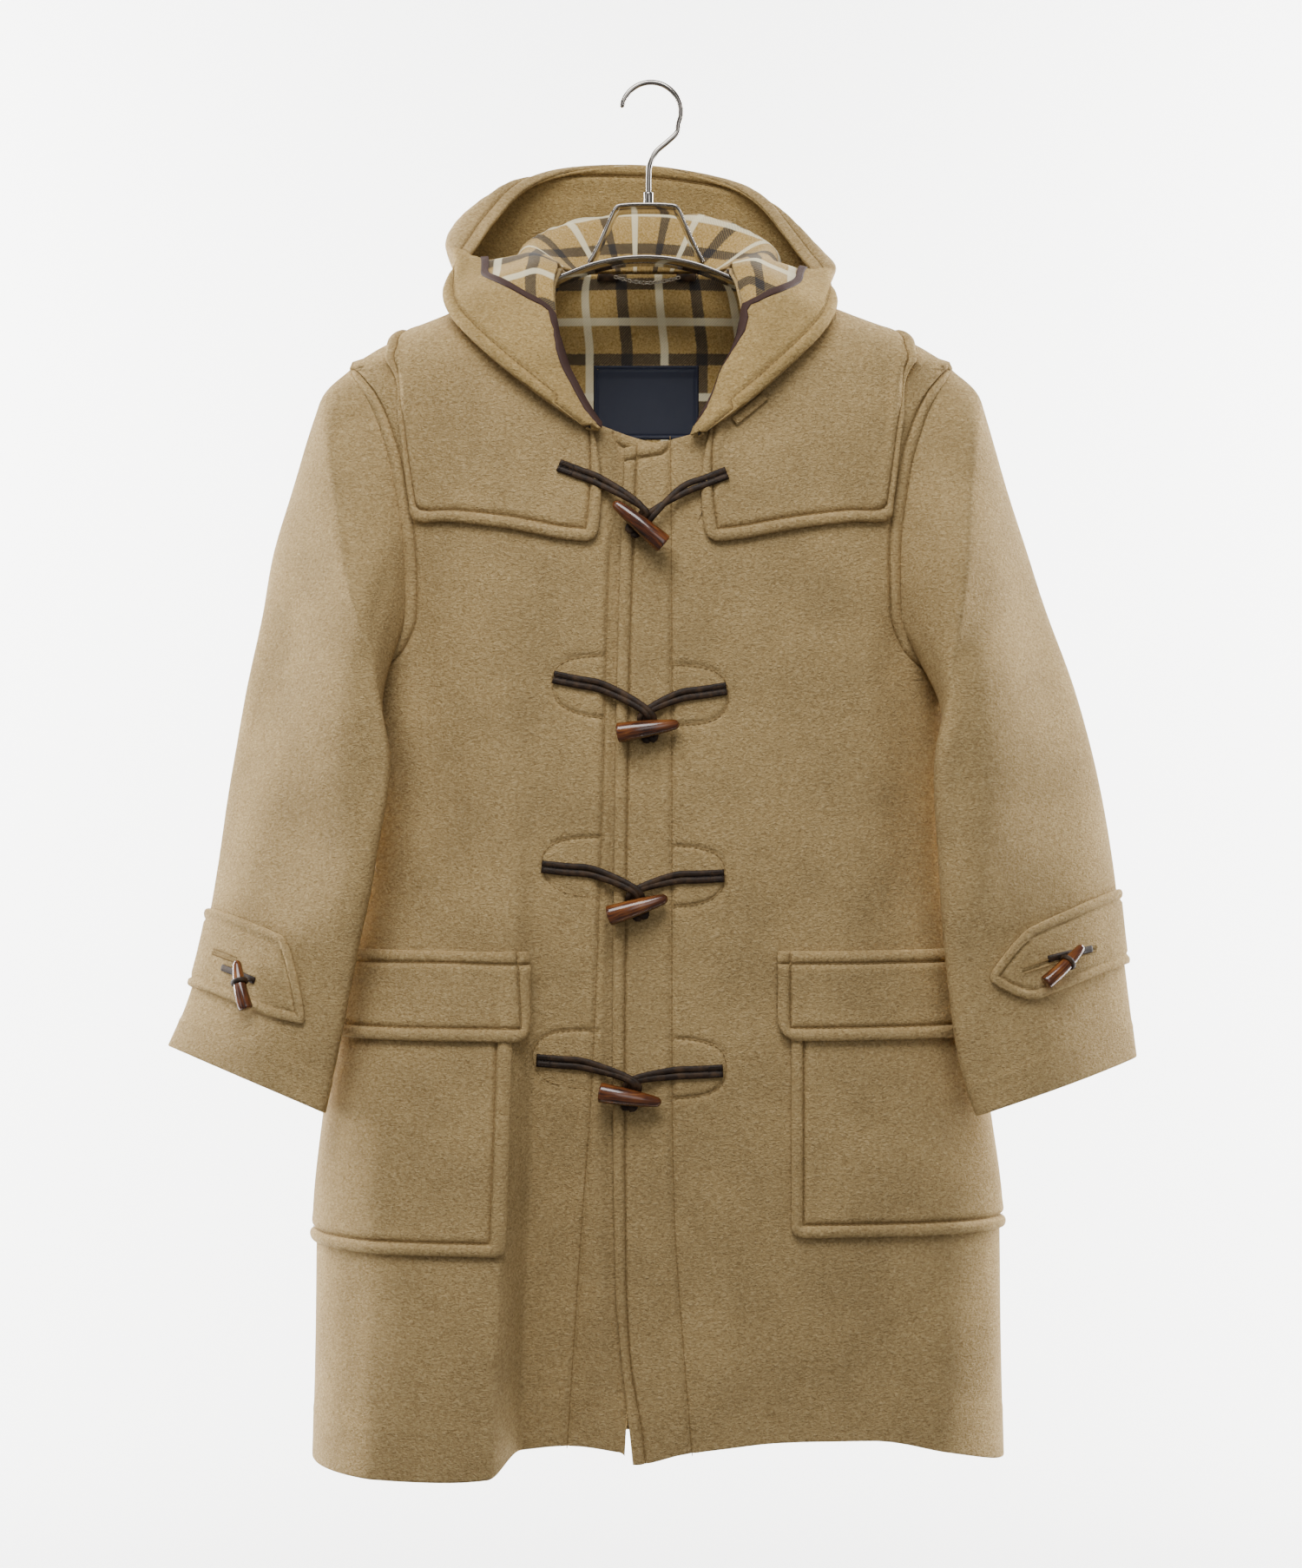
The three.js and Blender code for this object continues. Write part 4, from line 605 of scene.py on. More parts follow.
def checked_wool(name):
    """The coating's inner face, woven with a plain windowpane of charcoal and cream lines in turn."""
    material, tree, surface = shader(name, Roughness=0.95, Specular_IOR_Level=0.15, Sheen_Weight=0.15)
    u, v = add(tree, "SeparateXYZ", {"Vector": add(tree, "UVMap", uv_map="cloth")}).node.outputs[:2]
    blur = add(tree, "TexNoise", {"Vector": add(tree, "TexCoord", out="Object"), "Scale": 700, "Detail": 2.0})
    # twill diagonals 1.6 mm apart, drawn coarse enough to show
    rib = maths(tree, "MULTIPLY", maths(tree, "ADD", u, v), 2 * math.pi / 0.0022)
    twill = maths(tree, "SINE", rib)
    result = add(tree, "ValToRGB", {"Fac": blur}, stops=[(0.3, "#96793f"), (0.5, "#ad8f58"), (0.7, "#c0a36c")])
    repeat = 0.062    # from one charcoal line to the next
    soft = 0.008      # how far a line's edge fades out, as a share of the repeat
    for code, start, width in (("#25282e", 0.0, 0.0095), ("#eadfba", 0.5, 0.0065)):
        for axis in (u, v):
            phase = maths(tree, "FRACT", maths(tree, "MULTIPLY_ADD", axis, 1 / repeat, start + 0.18))
            far = maths(tree, "ABSOLUTE", maths(tree, "SUBTRACT", phase, 0.5))
            frayed = maths(tree, "MULTIPLY_ADD", blur, 0.022, far)
            half = width / repeat / 2 + 0.011
            line = rescaled(tree, frayed, half - soft, half + soft, 0.9, 0.0)
            woven = rescaled(tree, twill, -1.0, 1.0, 0.72, 1.0)
            result = blended(tree, maths(tree, "MULTIPLY", line, woven), result, colour(code))
    coloured(tree, surface, result, maths(tree, "MULTIPLY_ADD", twill, 0.08, blur), 0.5, 0.0008)
    return material


def waxed_leather(name):
    """Cut and folded cowhide strip: semi-matt, fine pebbled grain, paler in patches of wear."""
    material, tree, surface = shader(name, Roughness=0.5, Specular_IOR_Level=0.28)
    place = add(tree, "TexCoord", out="Object")
    pebble = add(tree, "TexVoronoi", {"Vector": place, "Scale": 1100})
    wear = add(tree, "TexNoise", {"Vector": place, "Scale": 160, "Detail": 4.0})
    shade = add(tree, "ValToRGB", {"Fac": wear}, stops=[(0.42, "#24170c"), (0.72, "#46321f")])
    tree.links.new(rescaled(tree, wear, 0.0, 1.0, 0.48, 0.7), surface.inputs["Roughness"])
    coloured(tree, surface, shade, pebble, 0.35, 0.0004)
    return material


def polished_horn(name):
    """Turned and polished buffalo horn: glossy, reddish brown, with darker streaks along the toggle."""
    material, tree, surface = shader(name, Roughness=0.2, IOR=1.55, Coat_Weight=0.35, Coat_Roughness=0.08)
    # streaks 2 mm across and 25 mm long; the map runs round the toggle and then along it
    scaled = add(tree, "Mapping", {"Vector": add(tree, "UVMap", uv_map="cloth"), "Scale": (1.0, 0.09, 1.0)})
    streak = add(tree, "TexNoise", {"Vector": scaled, "Scale": 420, "Detail": 5.0, "Roughness": 0.6,
                                    "Distortion": 1.2})
    cloud = add(tree, "TexNoise", {"Vector": add(tree, "TexCoord", out="Object"), "Scale": 45, "Detail": 2.0})
    mixed = add(tree, "Mix", {0: 0.45, 2: streak, 3: cloud})
    shade = add(tree, "ValToRGB", {"Fac": mixed},
                stops=[(0.34, "#1d0d07"), (0.47, "#4a2410"), (0.57, "#6f3c18"), (0.7, "#9a6530")])
    coloured(tree, surface, shade, streak, 0.08, 0.0003)
    return material


def bright_steel(name, base, rough):
    """Plated steel, buffed: a mirror with faint smears."""
    material, tree, surface = shader(name, Metallic=1.0, Roughness=rough, Base_Color=colour(base))
    smear = add(tree, "TexNoise", {"Vector": add(tree, "TexCoord", out="Object"), "Scale": 90, "Detail": 4.0})
    tree.links.new(rescaled(tree, smear, 0.3, 0.7, rough * 0.7, rough * 1.6), surface.inputs["Roughness"])
    return material


def ribbed_tape(name, base, light, pitch, rough=0.7, bump=0.5):
    """Woven tape: fine ribs across, with the slight shine of its close threads painted on as a lighter colour
    where they stand highest.
    """
    material, tree, surface = shader(name, Roughness=rough)
    u, v = add(tree, "SeparateXYZ", {"Vector": add(tree, "UVMap", uv_map="cloth")}).node.outputs[:2]
    rib = maths(tree, "SINE", maths(tree, "MULTIPLY", v, 2 * math.pi / pitch))
    warp = maths(tree, "SINE", maths(tree, "MULTIPLY", u, 2 * math.pi / (pitch * 1.3)))
    knot = maths(tree, "MULTIPLY", rib, warp)
    share = rescaled(tree, knot, -1.0, 1.0, 0.0, 1.0)
    # the lighter colour goes where the knots stand highest in the bump: a painted highlight on the raised
    # threads
    coloured(tree, surface, blended(tree, share, colour(base), colour(light)), knot, bump, 0.0003)
    return material


wool = napped_wool("milled camel wool", "#b4996a", "#866c44", "#d4ba8b")
facing_wool = napped_wool("camel wool facing", "#b59863", "#8b7043", "#d3b883")
check = checked_wool("woven windowpane face")
leather = waxed_leather("waxed cowhide")
horn = polished_horn("polished horn")
steel = bright_steel("chromed steel", "#a8a19a", 0.1)
chain_steel = bright_steel("nickel-plated chain", "#b7ae9e", 0.3)
tape = ribbed_tape("dark brown binding tape", "#301a14", "#472b21", 0.0011)
label_satin = ribbed_tape("navy label satin", "#0a1024", "#111932", 0.0009, rough=0.55, bump=0.25)
thread = shader("tan cotton thread", Roughness=0.8, Base_Color=colour("#8f7446"))[0]
brown_thread = shader("brown waxed thread", Roughness=0.6, Base_Color=colour("#1f1510"))[0]
navy_thread = shader("navy cotton thread", Roughness=0.8, Base_Color=colour("#1d2748"))[0]

# Camera and light

CAMERA_DISTANCE, PICTURE_WIDTH, SENSOR = 2400, 1264.2, 36
camera = bpy.data.objects.new("photo_camera", bpy.data.cameras.new("photo_camera"))
bpy.context.scene.collection.objects.link(camera)
camera.location = (0, -CAMERA_DISTANCE * METRE, -0.5635)
camera.rotation_euler = (math.radians(90), 0, 0)
camera.data.sensor_width = SENSOR
camera.data.lens = SENSOR * CAMERA_DISTANCE / PICTURE_WIDTH
bpy.context.scene.camera = camera


def soft_light(name, place, aim, size, power):
    """A rectangular white light, aimed at a place and not seen by the camera."""
    lamp = bpy.data.lights.new(name, "AREA")
    lamp.shape = "RECTANGLE"
    lamp.size, lamp.size_y = size
    lamp.energy = power
    holder = bpy.data.objects.new(name, lamp)
    bpy.context.scene.collection.objects.link(holder)
    holder.location = place
    holder.rotation_euler = (Vector(aim) - Vector(place)).to_track_quat("-Z", "Y").to_euler()
    holder.visible_camera = False


soft_light("top_softbox", (-0.3, -1.4, 1.3), (0, 0, -0.35), (1.8, 1.1), 62)
soft_light("side_softbox", (-2.4, -1.3, 0.1), (0, 0, -0.6), (1.0, 1.8), 7)
soft_light("front_softbox", (1.0, -3.4, 0.2), (0, 0, -0.5), (1.6, 2.0), 16)
for side, name in ((-1, "left"), (1, "right")):
    soft_light(f"backdrop_light_{name}", (side * 2.1, 0.9, 0.3), (side * 0.2, 2.7, -0.5), (0.6, 2.4), 320)
world = bpy.data.worlds.new("pale studio")
bpy.context.scene.world = world
world.use_nodes = True
for socket, value in (("Color", (1, 1, 1, 1)), ("Strength", 0.2)):
    world.node_tree.nodes["Background"].inputs[socket].default_value = value

# the paper lies on the floor and bends up behind the coat: its profile, then its width
bend = np.radians(np.linspace(0, 90, 14))
profile = [(-100, -1420), (200, -1420), (600, -1420)]
profile += [(1400 + 1200 * math.sin(a), -220 - 1200 * math.cos(a)) for a in bend]
profile += [(2600, 800), (2600, 5000)]
paper_points = np.array([[(x, y, z) for x in np.linspace(-5000, 5000, 5)] for y, z in profile])
paper_bm, _ = mapped_grid(paper_points, flat_uv(paper_points))
paper, tree, surface = shader("pale studio paper", Roughness=0.9, Base_Color=colour("#fbfbfa"))
# the paper is left out of the picture when it is seen from behind
shown = maths(tree, "SUBTRACT", 1.0, add(tree, "NewGeometry", out="Backfacing"))
tree.links.new(shown, surface.inputs["Alpha"])
studio_paper = finished("studio_paper", paper_bm, [paper])

# Body panels

ARMHOLE_TOP, ARMHOLE_BOTTOM = -229.0, -480.0
ARMHOLE_MIDDLE = (ARMHOLE_TOP + ARMHOLE_BOTTOM) / 2
ARMHOLE_REACH = (ARMHOLE_TOP - ARMHOLE_BOTTOM) / 2
SIDE_TOP, BACK_NECK = -148.0, -143.0
SIDE_GAP = 0.0012    # half the side seam, in radians
HEM_FOLD = 38.0      # the hem's turned allowance, which shows as a faint ridge


def armhole_turn(column, z):
    """How far an armhole's edge lies from the side seam, in radians."""
    inside = (z > ARMHOLE_BOTTOM) & (z < ARMHOLE_TOP)
    return np.where(inside, read(ARMHOLE, column, "z", z), 0) * np.pi / 180


def row_heights(hem, fine=(), notch_rows=70):
    """Heights of a panel's rows at the side seam: close at hem, stitched patches, armhole and neck."""
    at_hem = RAW_STEPS + [5, 9, 14, 20, 26, 31, 34.5, 37, 39, 41.5, 45]
    at_neck = [0, 0.5, 1.2, 2.4, 4, 6, 8, 9.2, 10.4, 12, 14]
    below = hem + ladder(ARMHOLE_BOTTOM - hem, 5.5, at_hem, [0], [(a - hem, b - hem) for a, b in fine])
    turns = np.linspace(0, np.pi, notch_rows)
    notch = ARMHOLE_MIDDLE - ARMHOLE_REACH * np.cos(turns)
    above = ARMHOLE_TOP + ladder(SIDE_TOP - ARMHOLE_TOP, 4, [0, 3], at_neck)
    return np.concatenate([below[:-1], notch, above[1:]])


def front(over):
    """A front panel's points, outward directions and row heights, from the hem up and left to right."""
    side = "over" if over else "under"
    turned = (lambda a: np.pi - a) if over else (lambda a: a)
    hem_at = lambda a: read(HEM, "z", "x", body(turned(a), np.full_like(a, -1090.0))[..., 0])
    top_at = lambda a: read(NECKLINE, side, "angle", np.degrees(a))
    side_hem = hem_at(np.array([0.0]))[0]
    bottom, top = (at(np.array([np.pi / 2]))[0] for at in (hem_at, top_at))
    scale = (SIDE_TOP - side_hem) / (top - bottom)
    levels = [[z for _, z in patch] for patch in (TOGGLE_PATCHES if over else LOOP_PATCHES)]
    fine = [[side_hem + (z - bottom) * scale for z in (min(level), max(level))] for level in levels]
    heights = row_heights(side_hem, fine, 140)
    width = 290.0
    marks = ladder(width, 5.5, fine=[(width - 118, width - 17)], fine_step=1.7)
    grid = []
    for z_row in heights:
        share = (z_row - side_hem) / (SIDE_TOP - side_hem)
        start = SIDE_GAP + float(armhole_turn("front", z_row))
        edge_z = bottom + share * (top - bottom)
        end = float(front_angle(float(read(FRONT_EDGE, side, "z", edge_z)), edge_z))
        end = np.pi - end if over else end

        def row_at(t):
            angle = start + (end - start) * t
            across = (angle - start) * (end / (end - start))
            return turned(angle), hem_at(across) + share * (top_at(across) - hem_at(across))

        angle, z = row_at(spaced(lambda t: body(*row_at(t)), marks, width, 260))
        p, n = body(angle, z), body_normal(angle, z)
        if over:
            p, n = p[::-1], n[::-1]
        else:
            lap = read(FRONT_EDGE, "over", "z", z)
            p = p - n * (UNDERLAP * ease((p[..., 0] - (lap - 14)) / 12))[..., None]
        grid.append((p, n))
    return *map(np.array, zip(*grid)), heights


def line_on_front(line):
    line = resample(rounded(line), 3)
    return on_front(line[:, 0], line[:, 1], np.zeros(len(line)))[0]


def hem_ridge(points):
    _, up = border(points)
    return 0.5 * ridge(up, HEM_FOLD, 3) + 0.35 * ease((HEM_FOLD - up) / 6)


THREADS = []      # lines of thread: points and outward directions


def nearest(points, line):
    """Which of a grid's points lies nearest to each point of a line, counted along its rows."""
    flat = points.reshape(-1, 3)
    tree = KDTree(len(flat))
    for k, p in enumerate(flat):
        tree.insert(p, k)
    tree.balance()
    return [tree.find(p)[1] for p in line]


def sewn(points, normals, *lines):
    """Thread along lines on a panel: their points set in the groove of the finished panel."""
    for line in lines:
        line = resample(line, 3.0)
        near = nearest(points, line)
        on_panel = np.linalg.norm(points.reshape(-1, 3)[near] - line, axis=1) < STITCH_REACH
        line, out = line[on_panel], normals.reshape(-1, 3)[near][on_panel]
        THREADS.append((line + out * (CLOTH / 2 - STITCH_SINK), out))


def beside_armhole(heights):
    return (heights > ARMHOLE_BOTTOM + 1) & (heights < ARMHOLE_TOP - 1)


for over, name in ((False, "front_under"), (True, "front_over")):
    points, normals, heights = front(over)
    forwards = points[:, ::-1] if over else points      # columns from the armhole to the front edge
    hole = beside_armhole(heights)
    edges = [forwards[hole, 0]]
    stitches = [forwards[hole, STITCHED_STEP], line_on_front(OVER_FACING if over else UNDER_FACING)]
    if over:
        edges.append(forwards[:, -1])
        stitches.insert(1, forwards[:, -1 - STITCHED_STEP])
    patches = [line_on_front(p) for p in (TOGGLE_PATCHES if over else LOOP_PATCHES)]
    thick = relief(points, edges, stitches)
    for patch in patches:
        thick = thick - 2.0 * ridge(distance(points, patch), 0, 2)
    # the neck edge is swollen and stitched like the others, over the columns that the hood leaves open
    near = distance(points, forwards[-1, -22:])
    thick = thick + 1.5 * np.sin(np.pi * np.clip(near / STITCH_INSET, 0, 1))
    thick = thick - 2.2 * ridge(near, STITCH_INSET, 1.8)
    sewn(points, normals, *stitches, *patches)
    cloth(name, points, np.clip(thick + hem_ridge(points), 0.9, 5.2), wool, check, normals,
          open_edges="lbt" if over else "rbt")


def back_panel():
    """The back's points, outward directions and row heights; rows run up from the hem."""
    side_hem, width = -1104.0, 560.0
    heights = row_heights(side_hem)
    marks = ladder(width, 7.5)
    grid = []
    for z_row in heights:
        share = (z_row - side_hem) / (SIDE_TOP - side_hem)
        notch = SIDE_GAP + float(armhole_turn("back", z_row))

        def row_at(t):
            to_middle = 1 - np.abs(2 * t - 1)
            hem = between(side_hem, -1100, to_middle)
            z = hem + share * (between(SIDE_TOP, BACK_NECK, ease(to_middle)) - hem)
            return between(np.pi + notch, 2 * np.pi - notch, t), z

        place = row_at(spaced(lambda t: body(*row_at(t)), marks, width, 300))
        grid.append((body(*place), body_normal(*place)))
    return *map(np.array, zip(*grid)), heights


points, normals, heights = back_panel()
hole = beside_armhole(heights)
seams = [points[hole, STITCHED_STEP], points[hole, -1 - STITCHED_STEP]]
thick = np.clip(relief(points, [points[hole, 0], points[hole, -1]], seams) + hem_ridge(points), 0.9, 5.2)
sewn(points, normals, *seams)
cloth("back", points, thick, wool, check, normals, open_edges="bt")

# Sleeves


def seam_start(point, normal, along, inward, away, clearance):
    """Where the middle of a piece starts that leaves a panel's sewn edge in another direction."""
    out = np.cross(along, normal)
    out = out * np.sign((out * inward).sum(-1, keepdims=True))
    direction = unit(away - along * (away * along).sum(-1, keepdims=True))
    folded = (direction * out).sum(-1, keepdims=True)
    level = (direction * normal).sum(-1, keepdims=True)
    bent = point + normal * (CLOTH / 2 * (1 - folded) + 1.6 * clearance)
    straight = point + direction * (clearance + CLOTH / 2 * np.abs(level))
    return np.where(folded < 0, bent, straight)


SLEEVE_STEPS = len(LEFT_SLEEVE["oz"]) - 1
SLEEVE_STEP = 56          # about the length of one step, in mm
SLEEVE_RUN = 430          # from the cuff to where the sleeve's head starts
LEVEL_RUN = 200           # from the cuff to where the rings start to turn towards the armhole
CUFF_FOLD = 30            # the cuff's turned allowance


def sleeve_middle(table, at, around):
    at, around = np.broadcast_arrays(np.asarray(at, float), np.asarray(around, float))
    outer, inner, back = (np.stack([spline(table, rail + k, at) for k in "xyz"], -1) for rail in "oib")
    across, ahead = np.cos(around)[..., None], np.sin(around)[..., None]
    return (outer + inner) / 2 + (outer - inner) / 2 * across - back * ahead


def sleeve_at(side, table, at, around, lift=0.0):
    """A place on a sleeve, in steps down it and round from its outer rail to its front; and its normal."""
    turned = sleeve_middle(table, at, around + 0.02) - sleeve_middle(table, at, around - 0.02)
    down = sleeve_middle(table, at + 0.03, around) - sleeve_middle(table, at - 0.03, around)
    normal = unit(np.cross(down, turned) * -side)
    dent = np.zeros(normal.shape[:-1])
    for k in range(len(SLEEVE_CREASES["at"])):
        crease = {name: column[k] for name, column in SLEEVE_CREASES.items()}
        off = ((np.degrees(around) - crease["turn"] + 180) % 360) - 180
        low = (at - crease["at"]) * SLEEVE_STEP
        lean = math.radians(crease["lean"] * -side)
        across = (off * math.cos(lean) + low * math.sin(lean)) / crease["wide"]
        along = (low * math.cos(lean) - off * math.sin(lean)) / crease["long"] / SLEEVE_STEP
        dent = dent + 1.3 * crease["depth"] * np.exp(-across ** 2 - along ** 2)
    return sleeve_middle(table, at, around) + normal * (dent + lift)[..., None], normal


def ring_normals(points):
    """Outward directions of a tube's grid whose last column repeats the first."""
    core = points[:, :-1]
    right = np.roll(core, -1, 1) - np.roll(core, 1, 1)
    normal = unit(np.cross(right, np.gradient(core, axis=0)))
    return np.concatenate([normal, normal[:, :1]], axis=1)


def armhole_edge(side, around):
    """The middle of the cloth at the edge of an armhole, and the outward direction."""
    z = ARMHOLE_MIDDLE + ARMHOLE_REACH * np.cos(around)
    ahead = np.sin(around) >= 0
    turn = np.where(ahead, armhole_turn("front", z), -armhole_turn("back", z))
    angle = turn if side < 0 else np.pi - turn
    return body(angle, z), body_normal(angle, z)


def sleeve(side, table):
    """A sleeve's points, outward directions and thickness; rows run from the cuff to the armhole."""
    around = np.linspace(0, 2 * np.pi, 121)
    down = ladder(SLEEVE_RUN, 4.6, RAW_STEPS + [5, 9, 14, 20, 25, 28, 30, 32, 35], [0])
    lowered = (1 - np.cos(around)) / 2
    start = 0.2 + 2.2 * np.where(np.sin(around) > 0, lowered ** 0.6, lowered ** 1.6)
    level = SLEEVE_STEPS - down / SLEEVE_RUN * SLEEVE_STEPS
    turning = SLEEVE_STEPS - LEVEL_RUN / SLEEVE_RUN * SLEEVE_STEPS
    share = np.clip((down - LEVEL_RUN) / (SLEEVE_RUN - LEVEL_RUN), 0, 1)[:, None]
    at = np.where(share > 0, between(turning, start[None], share), level[:, None])
    rings, _ = sleeve_at(side, table, at, around[None])
    edge, normal = armhole_edge(side, around)
    ahead, behind = armhole_edge(side, around + 0.05)[0], armhole_edge(side, around - 0.05)[0]
    front_x, top_x = (armhole_edge(side, np.array(turn))[0][0] for turn in (np.pi / 2, 0.0))
    middle = np.array([(front_x + top_x) / 2, 0, ARMHOLE_MIDDLE])
    seam = seam_start(edge, normal, unit(ahead - behind), middle - edge, rings[-1] - edge, -0.6)
    shift = (seam - edge)[:-1]
    shift = sum(np.roll(shift, k, 0) for k in range(-4, 5)) / 9
    seam = edge + np.concatenate([shift, shift[:1]])
    reach = np.linalg.norm(seam - rings[-1], axis=-1, keepdims=True)
    leaving = unit(rings[-1] - rings[-3]) * reach
    arriving = (seam - rings[-1]) * 0.9
    head = []
    for t in np.append(np.linspace(0, 0.9, 19)[1:], [0.94, 0.97, 0.99, 1]):
        head.append(rings[-1] * (2 * t ** 3 - 3 * t ** 2 + 1) + leaving * (t ** 3 - 2 * t ** 2 + t)
                    + seam * (3 * t ** 2 - 2 * t ** 3) + arriving * (t ** 3 - t ** 2))
    points = np.concatenate([rings, np.array(head)])
    if side > 0:
        points = points[:, ::-1]
    from_cuff = np.concatenate([down, np.full(len(head), 500.0)])[:, None]
    hem = 0.7 * ridge(from_cuff, CUFF_FOLD, 2.4) + 0.4 * ease((CUFF_FOLD - from_cuff) / 5)
    return points, ring_normals(points), np.full(points.shape[:2], CLOTH) + hem


for side, table, name in ((-1, LEFT_SLEEVE, "sleeve_left"), (1, RIGHT_SLEEVE, "sleeve_right")):
    points, normals, thick = sleeve(side, table)
    cloth(name, points, thick, wool, check, normals, closed=True, open_edges="bt")

# Yoke


def neck_height(turn, front_side):
    """Height of the neckline, at degrees from the side: forwards where positive, backwards where negative."""
    behind = between(SIDE_TOP, BACK_NECK, ease(-turn / 90))
    return np.where(turn >= 0, read(NECKLINE, front_side, "angle", np.maximum(turn, 0)), behind)


YOKE_END = 2 * (len(YOKE["z"]) - 1)


def yoke_at(along, share, lift):
    """A place on the yoke, along from the left front round the back, and out from the neck; and its normal."""
    along, share = np.broadcast_arrays(np.asarray(along, float), np.asarray(share, float))
    left = along <= YOKE_END / 2
    k = np.where(left, along, YOKE_END - along)
    start, end = spline(YOKE, "neckTurn", k), spline(YOKE, "turn", k)
    neck = np.where(left, neck_height(start, "under"), neck_height(start, "over")) - spline(YOKE, "drop", k)
    turn = between(start, end, share) + 4 * share * (1 - share) * spline(YOKE, "bulge", k)
    z = between(neck, spline(YOKE, "z", k), share)
    angle = np.radians(np.where(left, turn, 180 - turn))
    normal = body_normal(angle, z)
    return body(angle, z) + normal * lift, normal


def with_round_corners(points, radius, corners):
    """A grid with some corners rounded: b or t for the lowest or highest row, l or r for the column."""
    across, up = border(points)
    right, rise = unit(np.gradient(points, axis=1)), unit(np.gradient(points, axis=0))
    moved = points.copy()
    for vertical, sideways in corners:
        u = across if sideways == "l" else across[:, -1:] - across
        v = up if vertical == "b" else up[-1:] - up
        a, b = np.clip(radius - u, 0, radius), np.clip(radius - v, 0, radius)
        inwards = a * (1 - np.sqrt(1 - b * b / (2 * radius ** 2)))
        upwards = b * (1 - np.sqrt(1 - a * a / (2 * radius ** 2)))
        moved += right * (inwards * (1 if sideways == "l" else -1))[..., None]
        moved += rise * (upwards * (1 if vertical == "b" else -1))[..., None]
    return moved


along = np.linspace(0, YOKE_END, 900)
length = lengths(yoke_at(along, 0.8, YOKE_LIFT)[0])
YOKE_WIDTH = 150
marks = ladder(YOKE_WIDTH, 4.6, EDGE_STEPS, RAW_STEPS)
grid = []
for place in np.interp(ladder(length[-1], 4.5), length, along):
    t = spaced(lambda s: yoke_at(place, 1 - s, YOKE_LIFT)[0], marks, YOKE_WIDTH, 160, RAW_STEPS[-1])
    grid.append(yoke_at(place, 1 - t, YOKE_LIFT))
points, normals = map(np.array, zip(*grid))
points = with_round_corners(points, 10, ["bl", "tl"])
outline = np.concatenate([points[0, ::-1], points[1:, 0], points[-1][1:]])
k = STITCHED_STEP
seam = np.concatenate([points[-1 - k, :k:-1], points[-1 - k:k:-1, k], points[k, k:]])
sewn(points, normals, seam)
cloth("yoke", points, relief(points, [outline], [seam], puff=1.9), wool, wool, normals,
      open_edges="lbt")

# Hood


def catmull(stops, samples=22):
    """Rows of points on smooth curves through rows of stops, with more room for longer spans."""
    stops = [2 * stops[0] - stops[1], *stops, 2 * stops[-1] - stops[-2]]
    pieces = []
    for a, b, c, d in zip(stops, stops[1:], stops[2:], stops[3:]):
        spans = [np.sqrt(np.maximum(np.linalg.norm(q - p, axis=-1, keepdims=True), 1e-3))
                 for p, q in ((a, b), (b, c), (c, d))]
        first = ((b - a) / spans[0] - (c - a) / (spans[0] + spans[1]) + (c - b) / spans[1]) * spans[1]
        second = ((c - b) / spans[1] - (d - b) / (spans[1] + spans[2]) + (d - c) / spans[2]) * spans[1]
        for t in np.arange(samples) / samples:
            t2, t3 = t * t, t ** 3
            pieces.append((2 * t3 - 3 * t2 + 1) * b + (t3 - 2 * t2 + t) * first + (3 * t2 - 2 * t3) * c
                          + (t3 - t2) * second)
    pieces.append(stops[-2])
    return np.stack(pieces, axis=1)


def neck_place(turn):
    """The neck seam at degrees round from the left side, and the outward direction."""
    right = turn < -90
    local = np.where(right, -180 - turn, turn)
    z = np.where(right, neck_height(local, "over"), neck_height(local, "under"))
    return body(np.radians(turn), z), body_normal(np.radians(turn), z)


def hood_curves(at):
    """The hood's sections from the neck seam over the fold and the pouch to the brim, a row of points each."""
    fold, low, top, brim = (np.stack([spline(HOOD, key + k, at) for k in "xyz"], -1) for key in "fltb")
    turn, bow = spline(HOOD, "turn", at), spline(HOOD, "bow", at)
    point, normal = neck_place(turn)
    along = unit(neck_place(turn - 0.5)[0] - neck_place(turn + 0.5)[0])
    start = seam_start(point, normal, along, np.array([0.0, 0, 1]), fold - point, 1.6)
    near, far = (fold + low) / 2, (low + top) / 2
    low_in, low_out = low + (near - low) * 0.2, low + (far - low) * 0.2
    for place, share in ((near, 0.15), (low_in, -0.1), (low_out, 0.45), (far, 0.8)):
        place[:, 1] += bow * share
    crest, turned = top + (far - top) * 0.16, top + (brim - top) * 0.4
    return catmull([start, fold, near, low_in, low_out, far, crest, turned, brim])


HOOD_DEPTH = 400          # a nominal width from the neck seam to the brim
fine = np.linspace(0, len(HOOD["turn"]) - 1, 700)
length = lengths(np.stack([spline(HOOD, "b" + k, fine) for k in "xyz"], -1))
ends = RAW_STEPS + [4, 6.5, 9]
hood_places = np.interp(ladder(length[-1], 5.2, ends, ends), length, fine)
curves = hood_curves(hood_places)
arcs = lengths(curves, 1)


def hood_grid(wanted_of):
    """A grid on the hood, a row for each section; wanted_of gives distances from the neck seam."""
    wanted = [wanted_of(arc[-1], place) for arc, place in zip(arcs, hood_places)]
    return np.array([np.stack([np.interp(row, arc, curve[:, k]) for k in range(3)], axis=-1)
                     for row, arc, curve in zip(wanted, arcs, curves)])


marks = ladder(HOOD_DEPTH, 5, RAW_STEPS, EDGE_STEPS)
hood_points = hood_grid(lambda real, at: stretch(marks, HOOD_DEPTH, real, first=RAW_STEPS[-1]))
# short dents of the dropped hood: where the cloth twists at each side, and where it sags behind
DIMPLES = [((-82, -60, -228), 13, -3.0), ((57, -70, -241), 12, -2.6), ((-150, 20, -150), 20, 3.0),
           ((-135, -20, -175), 12, -2.6), ((140, 20, -150), 20, 2.5), ((122, -20, -170), 11, -2.4),
           ((-60, 110, -120), 30, 3.0), ((70, 108, -130), 28, -3.0), ((10, 125, -220), 40, 3.5)]


